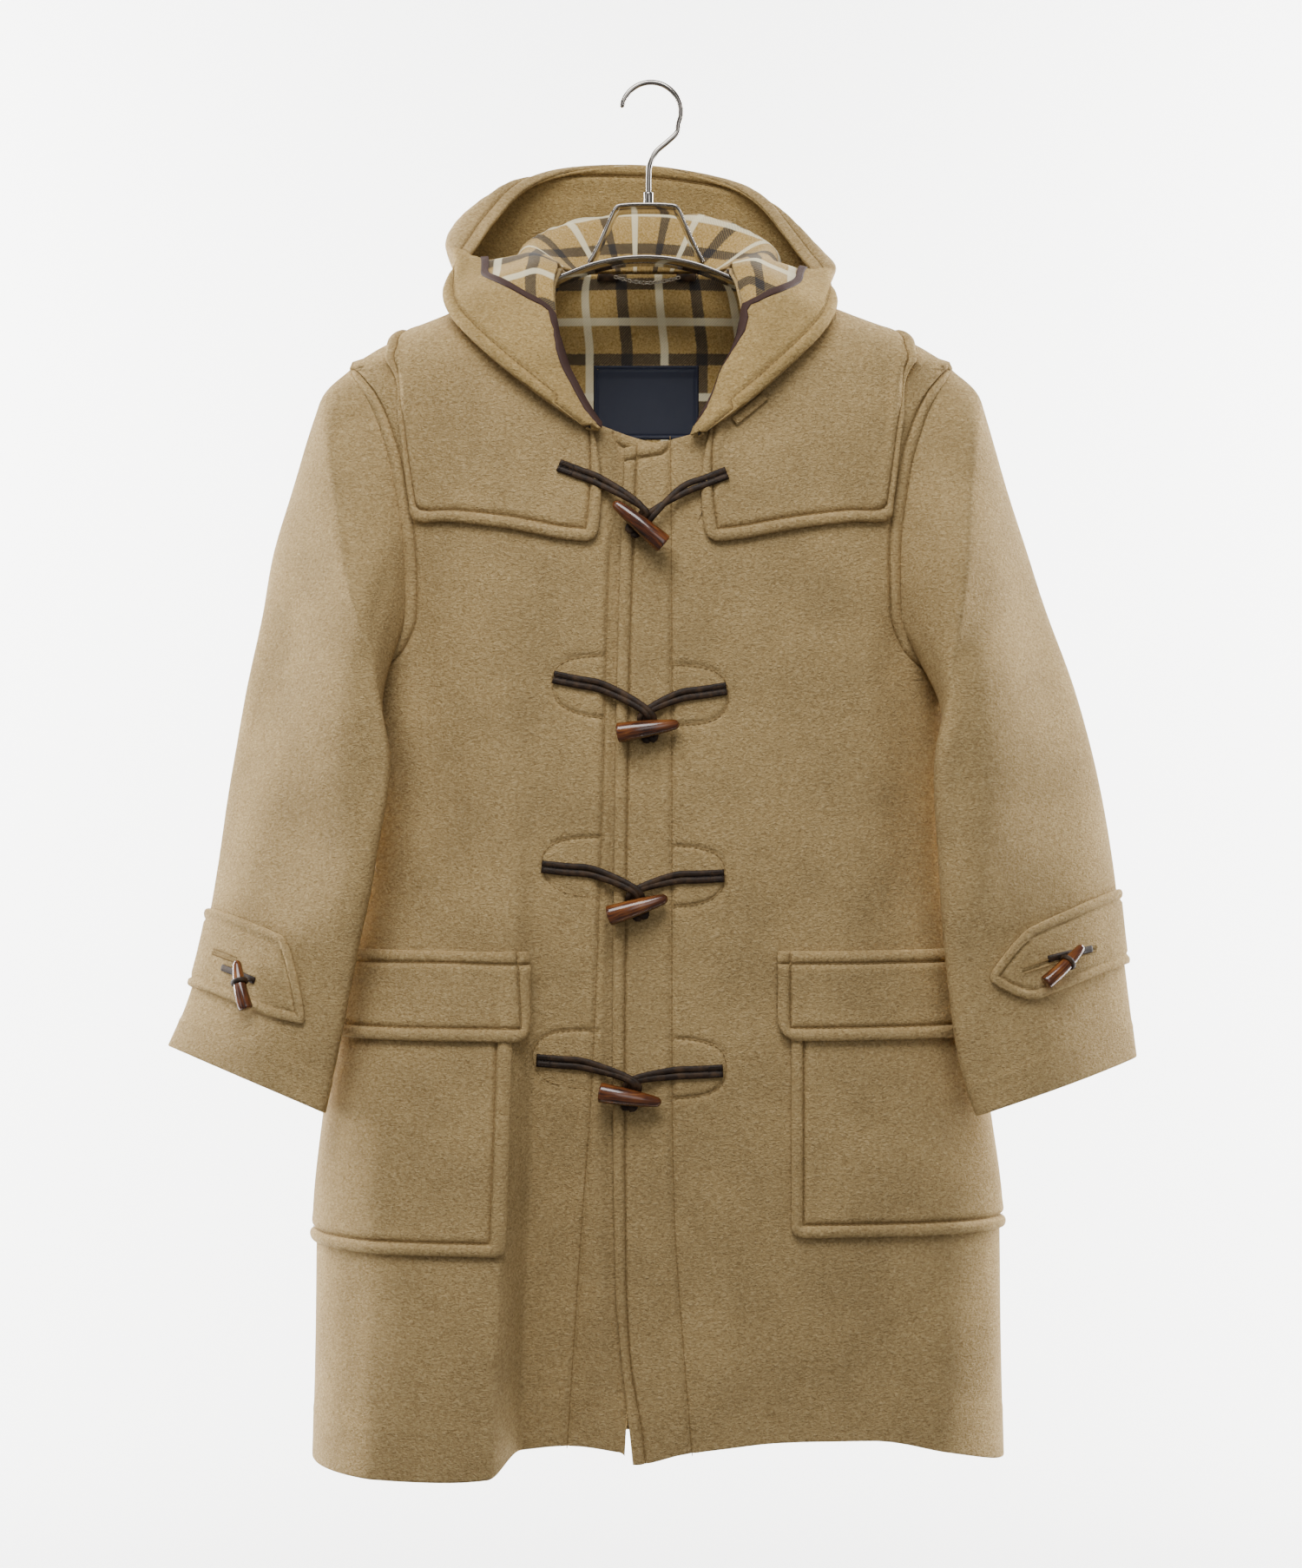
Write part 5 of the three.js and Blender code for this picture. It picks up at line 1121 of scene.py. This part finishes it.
def dimpled(points, normals):
    """Points of the hood moved out or in by its short dents."""
    for centre, reach, depth in DIMPLES:
        off = np.linalg.norm(points - np.array(centre, float), axis=-1)
        points = points + normals * (depth * np.exp(-((off / reach) ** 2)))[..., None]
    return points


hood_points = dimpled(hood_points, grid_normals(hood_points))
hood_normals = grid_normals(hood_points)
brim_stitch = hood_points[:, -1 - STITCHED_STEP]
sewn(hood_points, hood_normals, brim_stitch)
# the check runs level along the fold, which is about the twelfth column
across, up = border(hood_points)
level = np.repeat((up - up[up.shape[0] // 2])[:, 12:13], up.shape[1], axis=1)
cloth("hood", hood_points, relief(hood_points, [hood_points[:, -1]], [brim_stitch]), wool, check, hood_normals,
      uv=np.stack([across, level], axis=-1) * METRE)


# How far the facing reaches in from the brim, by places along the hood; it covers the whole strip at both ends.
FACING_REACH = rows("at width", [
    (0, 300), (1, 160), (2, 70), (3, 47), (4, 36), (5, 38), (6, 58), (7, 76), (8, 80), (12, 80), (13, 72),
    (14, 58), (15, 36), (16, 36), (17, 46), (18, 70), (19, 160), (20, 300),
])
FACING_WIDTH = 75         # a nominal reach
FACING_CLOTH = 2.2        # the facing is thinner than the coating


def inner_width(real, at):
    return min(float(read(FACING_REACH, "width", "at", at)), real - 7)


def inside_hood(wanted_of, lift, tucked=False):
    """A strip on the hood's inner side, columns from the brim inwards, and the directions off the hood.
    A tucked strip lies closer to the hood at the brim.
    """
    points = hood_grid(wanted_of)
    normals = grid_normals(points[:, ::-1])[:, ::-1]
    points = dimpled(points, normals)
    closing = ease(lengths(points, 1) / 6) if tucked else np.ones(points.shape[:2])
    return points - normals * (lift * (0.45 + 0.55 * closing))[..., None], -normals


facing_marks = ladder(FACING_WIDTH, 4.6, EDGE_STEPS, RAW_STEPS)
points, normals = inside_hood(
    lambda real, at: real - stretch(facing_marks, FACING_WIDTH, inner_width(real, at), last=RAW_STEPS[-1]),
    CLOTH / 2 + 0.3 + FACING_CLOTH / 2, tucked=True)
stitch = points[:, STITCHED_STEP]
thick = relief(points, [points[:, 0]], [stitch], puff=0.8, groove=1.3) - (CLOTH - FACING_CLOTH)
sewn(points, normals, stitch)
cloth("hood_facing", points, np.clip(thick, 0.7, 4), facing_wool, facing_wool, normals)
tape_marks = np.array([-1.2, -0.6, 0.2, 1.2, 2.2, 3.2, 4.2, 4.8, 5.2])
points, normals = inside_hood(lambda real, at: real - inner_width(real, at) - tape_marks,
                              CLOTH / 2 + 0.5 + FACING_CLOTH)
cloth("hood_binding", points, np.full(points.shape[:2], 2.0), tape, tape, normals,
      rim=1.6)

# Pockets and flaps

POCKET_SIDE = math.radians(5)
FLAP_TOP, FLAP_BOTTOM = -694.0, -764.0


def patch(side, bottom, top, inner_edge, lift_at, radius):
    """A patch on a front from beside the side seam to an inner edge, with one round corner low at that edge;
    and its outline and stitch line there.
    """
    width = 150
    marks = ladder(width, 5)
    grid = []
    for z in bottom + ladder(top - bottom, 5):
        end = float(front_angle(inner_edge(z), z))
        reach = (end if side < 0 else np.pi - end) - POCKET_SIDE

        def angle_at(t):
            turn = POCKET_SIDE + reach * t
            return turn if side < 0 else np.pi - turn

        t = spaced(lambda t: body(angle_at(t), z), marks, width, 200)
        n = body_normal(angle_at(t), z)
        p = body(angle_at(t), z) + n * lift_at(t, z)[:, None]
        grid.append((p, n) if side < 0 else (p[::-1], n[::-1]))
    points, normals = map(np.array, zip(*grid))
    points = with_round_corners(points, radius, ["br" if side < 0 else "bl"])
    k = STITCHED_STEP
    if side < 0:
        outline = [points[0], points[1:, -1]]
        seam = [points[k, :-1 - k], points[k:, -1 - k]]
    else:
        outline = [points[::-1, 0], points[0][1:]]
        seam = [points[:k:-1, k], points[k, k:]]
    return points, normals, np.concatenate(outline), np.concatenate(seam)


def swell(t, z):
    """How far a pocket stands off the front, at a share of its width and a height."""
    return 1.8 * np.sin(np.pi * np.clip(t, 0, 1)) * np.sin(np.pi * np.clip((z + 925) / 215, 0, 1))


def pocket_lift(t, z):
    return CLOTH + LAY + swell(t, z)


def flap_lift(t, z):
    """A flap starts close to the front, lies on the pocket below that and stands off a little lower down."""
    laid = between(CLOTH + 2 * LAY, 2 * (CLOTH + LAY), ease((FLAP_TOP - z) / 14))
    return laid + swell(t, z) + 1.2 * ease((-745 - z) / 20) * np.sin(np.pi * t)


def step_edge(z):
    return read(FRONT_EDGE, "step", "z", z)


for side, name, rests, bottom, pocket_edge, flap_edge in (
        (-1, "left", "front_under", -927, lambda z: step_edge(z) - 10, step_edge),
        (1, "right", "front_over", -918, lambda z: 109, lambda z: 98)):
    points, normals, outline, seam = patch(side, bottom, -712, pocket_edge, pocket_lift, 10)
    sewn(points, normals, seam)
    cloth(f"pocket_{name}", points, relief(points, [outline], [seam]), wool, wool, normals)
    points, normals, outline, seam = patch(side, FLAP_BOTTOM, FLAP_TOP, flap_edge, flap_lift, 18)
    top_seam = points[-1 - STITCHED_STEP]
    sewn(points, normals, seam, top_seam)
    cloth(f"flap_{name}", points, relief(points, [outline, points[-1]], [seam, top_seam]), wool, wool, normals)

# Straps and fastenings


TAB_WIDTH = 7
shares = np.array([-0.5, -0.49, -0.46, -0.4, -0.3, -0.15, 0, 0.15, 0.3, 0.4, 0.46, 0.49, 0.5])
stops = resample([(89, -260.5), (77.5, -270.5), (64.5, -281)], 1.5)
run = unit(np.gradient(stops, axis=0))
x = stops[:, :1] + run[:, 1:] * shares * TAB_WIDTH
z = stops[:, 1:] - run[:, :1] * shares * TAB_WIDTH
points, normals = on_front(x, z, np.full(x.shape, YOKE_LIFT + CLOTH + 0.5))
cloth("throat_tab", points, np.full(points.shape[:2], CLOTH), wool, wool, normals)


def horn_toggle(name, tip, base, out, tip_radius, base_radius, node):
    """A turned toggle: a bent taper with a rounded tip and a flat base with a softened edge."""
    long = np.linalg.norm(base - tip)
    marks = np.concatenate([[0, 0.15, 0.5, 1.1, 2, 3.2, 5], np.linspace(8, long - 3, 18),
                            long - np.array([1.6, 0.8, 0.3, 0])])
    share = marks / long
    path = tip + (base - tip) * share[:, None] + out * (2.2 * 4 * share * (1 - share))[:, None]
    radius = between(tip_radius, base_radius, share ** 0.8) + 0.5 * np.sin(np.pi * share)
    start = np.clip(marks / 3.6, 0, 1)
    radius = radius * np.sqrt(np.maximum(1 - (1 - start) ** 2, 0.0005))
    near = np.clip((long - marks) / 1.6, 0, 1)
    radius = radius - 1.4 * (1 - np.sqrt(np.maximum(1 - (1 - near) ** 2, 0)))
    solid(name, [tube(path, radius, 28)], horn, node)


def strand(path, width, high, up, closed=False, sides=12):
    """A flat strand with an oval section."""
    return tube(path, 1.0, sides, closed, (width / 2, high / 2), up)


def smooth(stops, step=1.5):
    """Points at even steps along a smooth curve through a few stops."""
    curve = catmull([np.asarray(s, float)[None] for s in stops])[0]
    return resample(curve, step)


STRAND_PITCH = 5.1        # between the middles of a tab's two strands
for k in range(len(FASTENINGS["lift"])):
    f = {name: column[k] for name, column in FASTENINGS.items()}
    # middle of a tab's leather over the middle of the front's cloth
    low = CLOTH / 2 + LAY + 1.4 + f["lift"]
    tip, out = on_front(f["tipX"], f["tipZ"], low + 6.6 - 0.6)
    base = on_front(f["baseX"], f["baseZ"], low + 8.2)[0]
    horn_toggle(f"horn_toggle_{k + 1}", tip, base, out, 3.4, 8.0, f"toggle_{k + 1}")
    axis = unit(base - tip)
    waist = tip + (base - tip) * 0.5 + out * 2.1
    side = unit(np.cross(out, axis))
    side = side * (1 if side[2] > 0 else -1)
    # the strands lie side by side and go round the toggle's waist, the loop's nearer to its tip than the tab's
    for name, slide, depth in (("loop", -2.6, 4.4), ("tab", 2.6, 6.0)):
        start, end = (np.array([f[name + inner + "X"], f[name + inner + "Z"]]) for inner in ("", "In"))
        name = "loop_tab" if name == "loop" else "toggle_tab"
        run = unit(end - start)
        across = np.array([run[1], -run[0]])
        halves = []
        for way in (-1, 1):
            laid = [place + across * way * STRAND_PITCH / 2 for place in (start, (start + end) / 2, end)]
            turn = waist + axis * (slide + way * 1.9)
            halves.append([on_front(*place, low + rise)[0] for place, rise in zip(laid, (0, 0, 0.4))]
                          + [turn + side * 10.5 - out * (depth - 1.2), turn + side * 2 - out * (depth + 2.2),
                             turn - side * 6.8 - out * depth])
        far_end = waist + axis * slide - side * 9.2 - out * (depth - 0.4)
        lace = strand(smooth([*halves[0], far_end, *halves[1][::-1]]), 5.0, 2.8, out)
        solid(f"{name}_leather_{k + 1}", [lace], leather, f"{name}_{k + 1}")
        # the tab's end is sewn down with a small box of waxed thread, and a line runs between the strands
        box = []
        for corners, rise in (([(1.6, -3.6), (1.6, 3.6)], 1.4), ([(11, -3.6), (11, 3.6)], 1.4),
                              ([(1.6, -3.6), (11, -3.6)], 1.4), ([(1.6, 3.6), (11, 3.6)], 1.4),
                              ([(1.6, 0), (34, 0)], 0.5)):
            spots = resample(corners, 1.5)
            x, z = (start + spots[:, :1] * run + spots[:, 1:] * across).T
            box.append(on_front(x, z, np.full(len(x), low + rise)))
        stitching(f"{name}_thread_{k + 1}", box, brown_thread, 2.6, 0.3)

# Cuff straps

# places on a sleeve are steps down it and degrees round it
STRAPS = [
    dict(name="left", side=-1, table=LEFT_SLEEVE, tip=97, upper=6.55, lower=7.75, tip_at=7.6,
         hole=[(7.12, 14), (7.12, 38)],
         toggle=[(7.1, 43), (7.76, 60)], loop=[(7.3, 28), (7.3, 42), (7.3, 56)]),
    dict(name="right", side=1, table=RIGHT_SLEEVE, tip=106, upper=6.35, lower=7.35, tip_at=6.75,
         hole=[(6.95, 34), (6.85, 84)],
         toggle=[(6.82, 48), (7.12, 74)], loop=[(6.93, 38), (6.88, 53), (6.83, 68)]),
]
POINT_DEGREES = 30        # a strap's pointed end
STRAP_LIFT = CLOTH + LAY + 0.3
half = np.array([0, 0.01, 0.025, 0.05, 0.085, 0.12, 0.16, 0.2])
STRAP_SHARES = np.concatenate([half, np.linspace(0.24, 0.76, 14), 1 - half[::-1]])


def on_sleeve(strap, places, lift):
    at, turns = np.asarray(places, float).T
    return sleeve_at(strap["side"], strap["table"], at, np.radians(turns), np.full(len(at), lift))


for strap in STRAPS:
    side, name = strap["side"], strap["name"]
    turns = np.linspace(-36, strap["tip"], 110)
    point_share = np.clip((turns - (strap["tip"] - POINT_DEGREES)) / POINT_DEGREES, 0, 1) ** 1.4
    upper, lower = (between(strap[edge], strap["tip_at"] + shift, point_share)
                    for edge, shift in (("upper", -0.05), ("lower", 0.05)))
    at = upper[:, None] + (lower - upper)[:, None] * STRAP_SHARES
    lift = np.full(at.shape, STRAP_LIFT)
    points, normals = sleeve_at(side, strap["table"], at, np.radians(turns)[:, None], lift)
    tip_row = points[-1]
    if side > 0:
        points, normals = points[::-1], normals[::-1]
    near = np.minimum.reduce([distance(points, line) for line in (points[:, 0], points[:, -1], tip_row)])
    hole = between(*np.array(strap["hole"]), np.linspace(0, 1, 20)[:, None])
    to_hole = distance(points, on_sleeve(strap, hole, STRAP_LIFT)[0])
    thick = (CLOTH + 1.1 * np.sin(np.pi * np.clip(near / 7.5, 0, 1)) - 1.9 * ridge(near, 7.5, 1.3)
             + 0.8 * ridge(to_hole, 2, 1.2) - 1.8 * ridge(to_hole, 0, 0.9))
    cloth(f"cuff_strap_{name}", points, np.clip(thick, 0.9, 5), wool, wool, normals)
    bars = [on_sleeve(strap, hole + (way * 0.04, 0), 1.5 * CLOTH + LAY + 0.9) for way in (-1, 1)]
    stitching(f"buttonhole_{name}", bars, thread, pitch=1.5, size=0.6)
    (tip, base), (out, _) = on_sleeve(strap, strap["toggle"], 1.5 * CLOTH + LAY + 6.6)
    horn_toggle(f"cuff_horn_{name}", tip, base, out, 3.0, 5.8, f"cuff_toggle_{name}")
    axis = unit(base - tip)
    across = unit(np.cross(out, axis))
    waist = tip + (base - tip) * 0.45 + out * 2.0
    turns = np.linspace(0, 2 * np.pi, 37)[:-1, None]
    ring = waist + across * 5.9 * np.cos(turns) + out * 5.7 * np.sin(turns)
    spots, spot_outs = on_sleeve(strap, strap["loop"], 1.5 * CLOTH + LAY + 1.4)
    lace = [strand(smooth(list(spots)), 5.4, 2.4, spot_outs[1]), strand(ring, 2.2, 4.0, axis, closed=True)]
    solid(f"cuff_loop_leather_{name}", lace, leather, f"cuff_loop_{name}")

# Hanger

HANGER_MIDDLE = -5.0
BAR = rows("out z", [
    (0, -140), (22, -141.5), (42, -146), (54, -150.5), (66, -155.4), (84, -163.4), (107, -174.3), (149, -193.4),
    (176, -204.8), (192, -212),
])
BRACKET = [(-51, -145.3), (-45, -136), (-33, -109), (-30, -102), (-25, -98.4), (18, -98.4), (23, -102),
           (26, -109), (38, -136), (43, -144.3)]


def metal_band(line, thickness, depth, bevel=0.6):
    """Rings of a flat bar's rounded section, carried along a line of places across and heights."""
    line = np.asarray(line, float)
    run = unit(np.gradient(line, axis=0))
    across = np.stack([-run[:, 1], run[:, 0]], axis=1)
    corner = [(-depth / 2, 0.0), (-depth / 2, -thickness), (depth / 2, -thickness), (depth / 2, 0.0)]
    ring = []
    for i in range(4):
        here, after, before = (np.array(corner[(i + k) % 4]) for k in (0, 1, -1))
        for turn in (0.0, 0.5, 1.0):
            a = here + unit(before - here) * bevel * (1 - turn) + unit(after - here) * bevel * turn
            if turn == 0.5:
                a = a - (unit(before - here) + unit(after - here)) * bevel * 0.21
            ring.append(a)
    ring.append(ring[0])
    return np.array([[(p[0] + n[0] * v, u, p[1] + n[1] * v) for u, v in ring] for p, n in zip(line, across)])


HOOK_RADIUS, HOOK_WIRE, HOOK_STEP = 24.0, 4.4, 1.2
arc = np.radians(172 - 14 * np.arange(15))
round_part = [(HOOK_RADIUS * math.cos(a), 0, HOOK_RADIUS * math.sin(a) - (HOOK_RADIUS - HOOK_WIRE / 2))
              for a in arc]
neck_part = [(21, 0, -38), (13, 0, -46), (4, 0, -54), (-1, 0, -64), (-2, 0, -76), (-2, 0, -87)]
wire_path = smooth(round_part + neck_part, HOOK_STEP)
from_tip = np.linspace(0, 1, len(wire_path)) * HOOK_STEP * len(wire_path)
wire_radius = HOOK_WIRE / 2 * np.sqrt(np.clip(1 - (1 - np.clip(from_tip / 2.1, 0, 1)) ** 2, 0.02, 1))
ferrule = [(-2, 0, z) for z in (-86.6, -86.9, -87.6, -92, -97.2, -97.7, -98.0)]
out, z = BAR["out"], BAR["z"]
bar_line = np.stack([HANGER_MIDDLE + np.append(-out[::-1], out[1:]), np.append(z[::-1], z[1:])], axis=1)
for name, shape, node in (
        ("hook_wire", tube(wire_path, wire_radius, 20), "hanger_hook"),
        ("ferrule_sleeve", tube(ferrule, [3.3, 3.9, 4.1, 4.1, 4.1, 3.9, 3.4], 28), "hanger_ferrule"),
        ("bent_bracket", metal_band(resample(rounded(BRACKET, 2), 1.6), 2.2, 38), "hanger_bracket"),
        ("shoulder_bar", metal_band(resample(rounded(bar_line, 2), 4), 2.5, 40), "hanger_bar")):
    solid(name, [shape], steel, node)

# Inside the neck


def inside_back(left, right, bottom, top, lift, step):
    """A grid on the inner face of the back, seen from the front, and the directions towards the viewer."""
    x, z = np.meshgrid(*(np.linspace(low, high, max(int((high - low) / step), 2) + 1)
                         for low, high in ((left, right), (bottom, top))))
    angle = 2 * np.pi - front_angle(x, z)
    out = body_normal(angle, z)
    return body(angle, z) - out * lift, -out


points, normals = inside_back(-47.5, 39.5, -278.5, -217.5, CLOTH / 2 + 1.0, 1.0)
across, up = border(points)
edge = np.minimum.reduce([across, across[:, -1:] - across, up, up[-1:] - up])
thick = 1.0 + 0.35 * np.sin(np.pi * np.clip(edge / 3, 0, 1)) - 0.5 * ridge(edge, 3, 0.7)
cloth("bare_label", points, thick, label_satin, label_satin, normals, "neck_label",
      rim=0.5)
rim_line = np.concatenate([points[3, 3:-3], points[3:-3, -4], points[-4, -4:2:-1], points[-4:2:-1, 3]])
out = np.tile(normals[20, 20], (len(rim_line), 1))
stitching("label_thread", [(rim_line + out * 0.5, out)], navy_thread, 2.4, 0.2)

for name, left, right in (("left", -45, -28), ("right", 22, 38)):
    points, normals = inside_back(left, right, -150.2, -143.8, CLOTH / 2 + 1.6, 0.8)
    end = strand(points[points.shape[0] // 2], 6.4, 2.6, normals[3, 3], sides=16)
    solid(f"chain_leather_{name}", [end], leather, f"chain_end_{name}")
chain_line = smooth([(-29.5, 47.6, -146.6), (-15, 49.6, -149.8), (-3, 50.2, -151), (10, 49.6, -149.8),
                     (23.5, 47.6, -147)], 0.5)
total = len(chain_line) - 1
links = []
turns = np.linspace(0, 2 * np.pi, 25)[:-1, None]
count = 19
for k in range(count):
    i = min(int((k + 0.5) / count * total), total - 1)
    along = unit(chain_line[i + 1] - chain_line[i])
    guide = np.array([0, -0.7, 0.7]) if k % 2 else np.array([0, 0.7, 0.7])
    across = unit(np.cross(along, guide))
    ring = chain_line[i] + along * 2.05 * np.cos(turns) + across * 1.35 * np.sin(turns)
    links.append(tube(ring, 0.5, 8, closed=True, up=unit(np.cross(along, across))))
solid("chain_links", links, chain_steel, "chain")

# Topstitching

for start in range(0, len(THREADS), 6):
    stitching(f"topstitching_{start // 6 + 1}", THREADS[start:start + 6], thread)
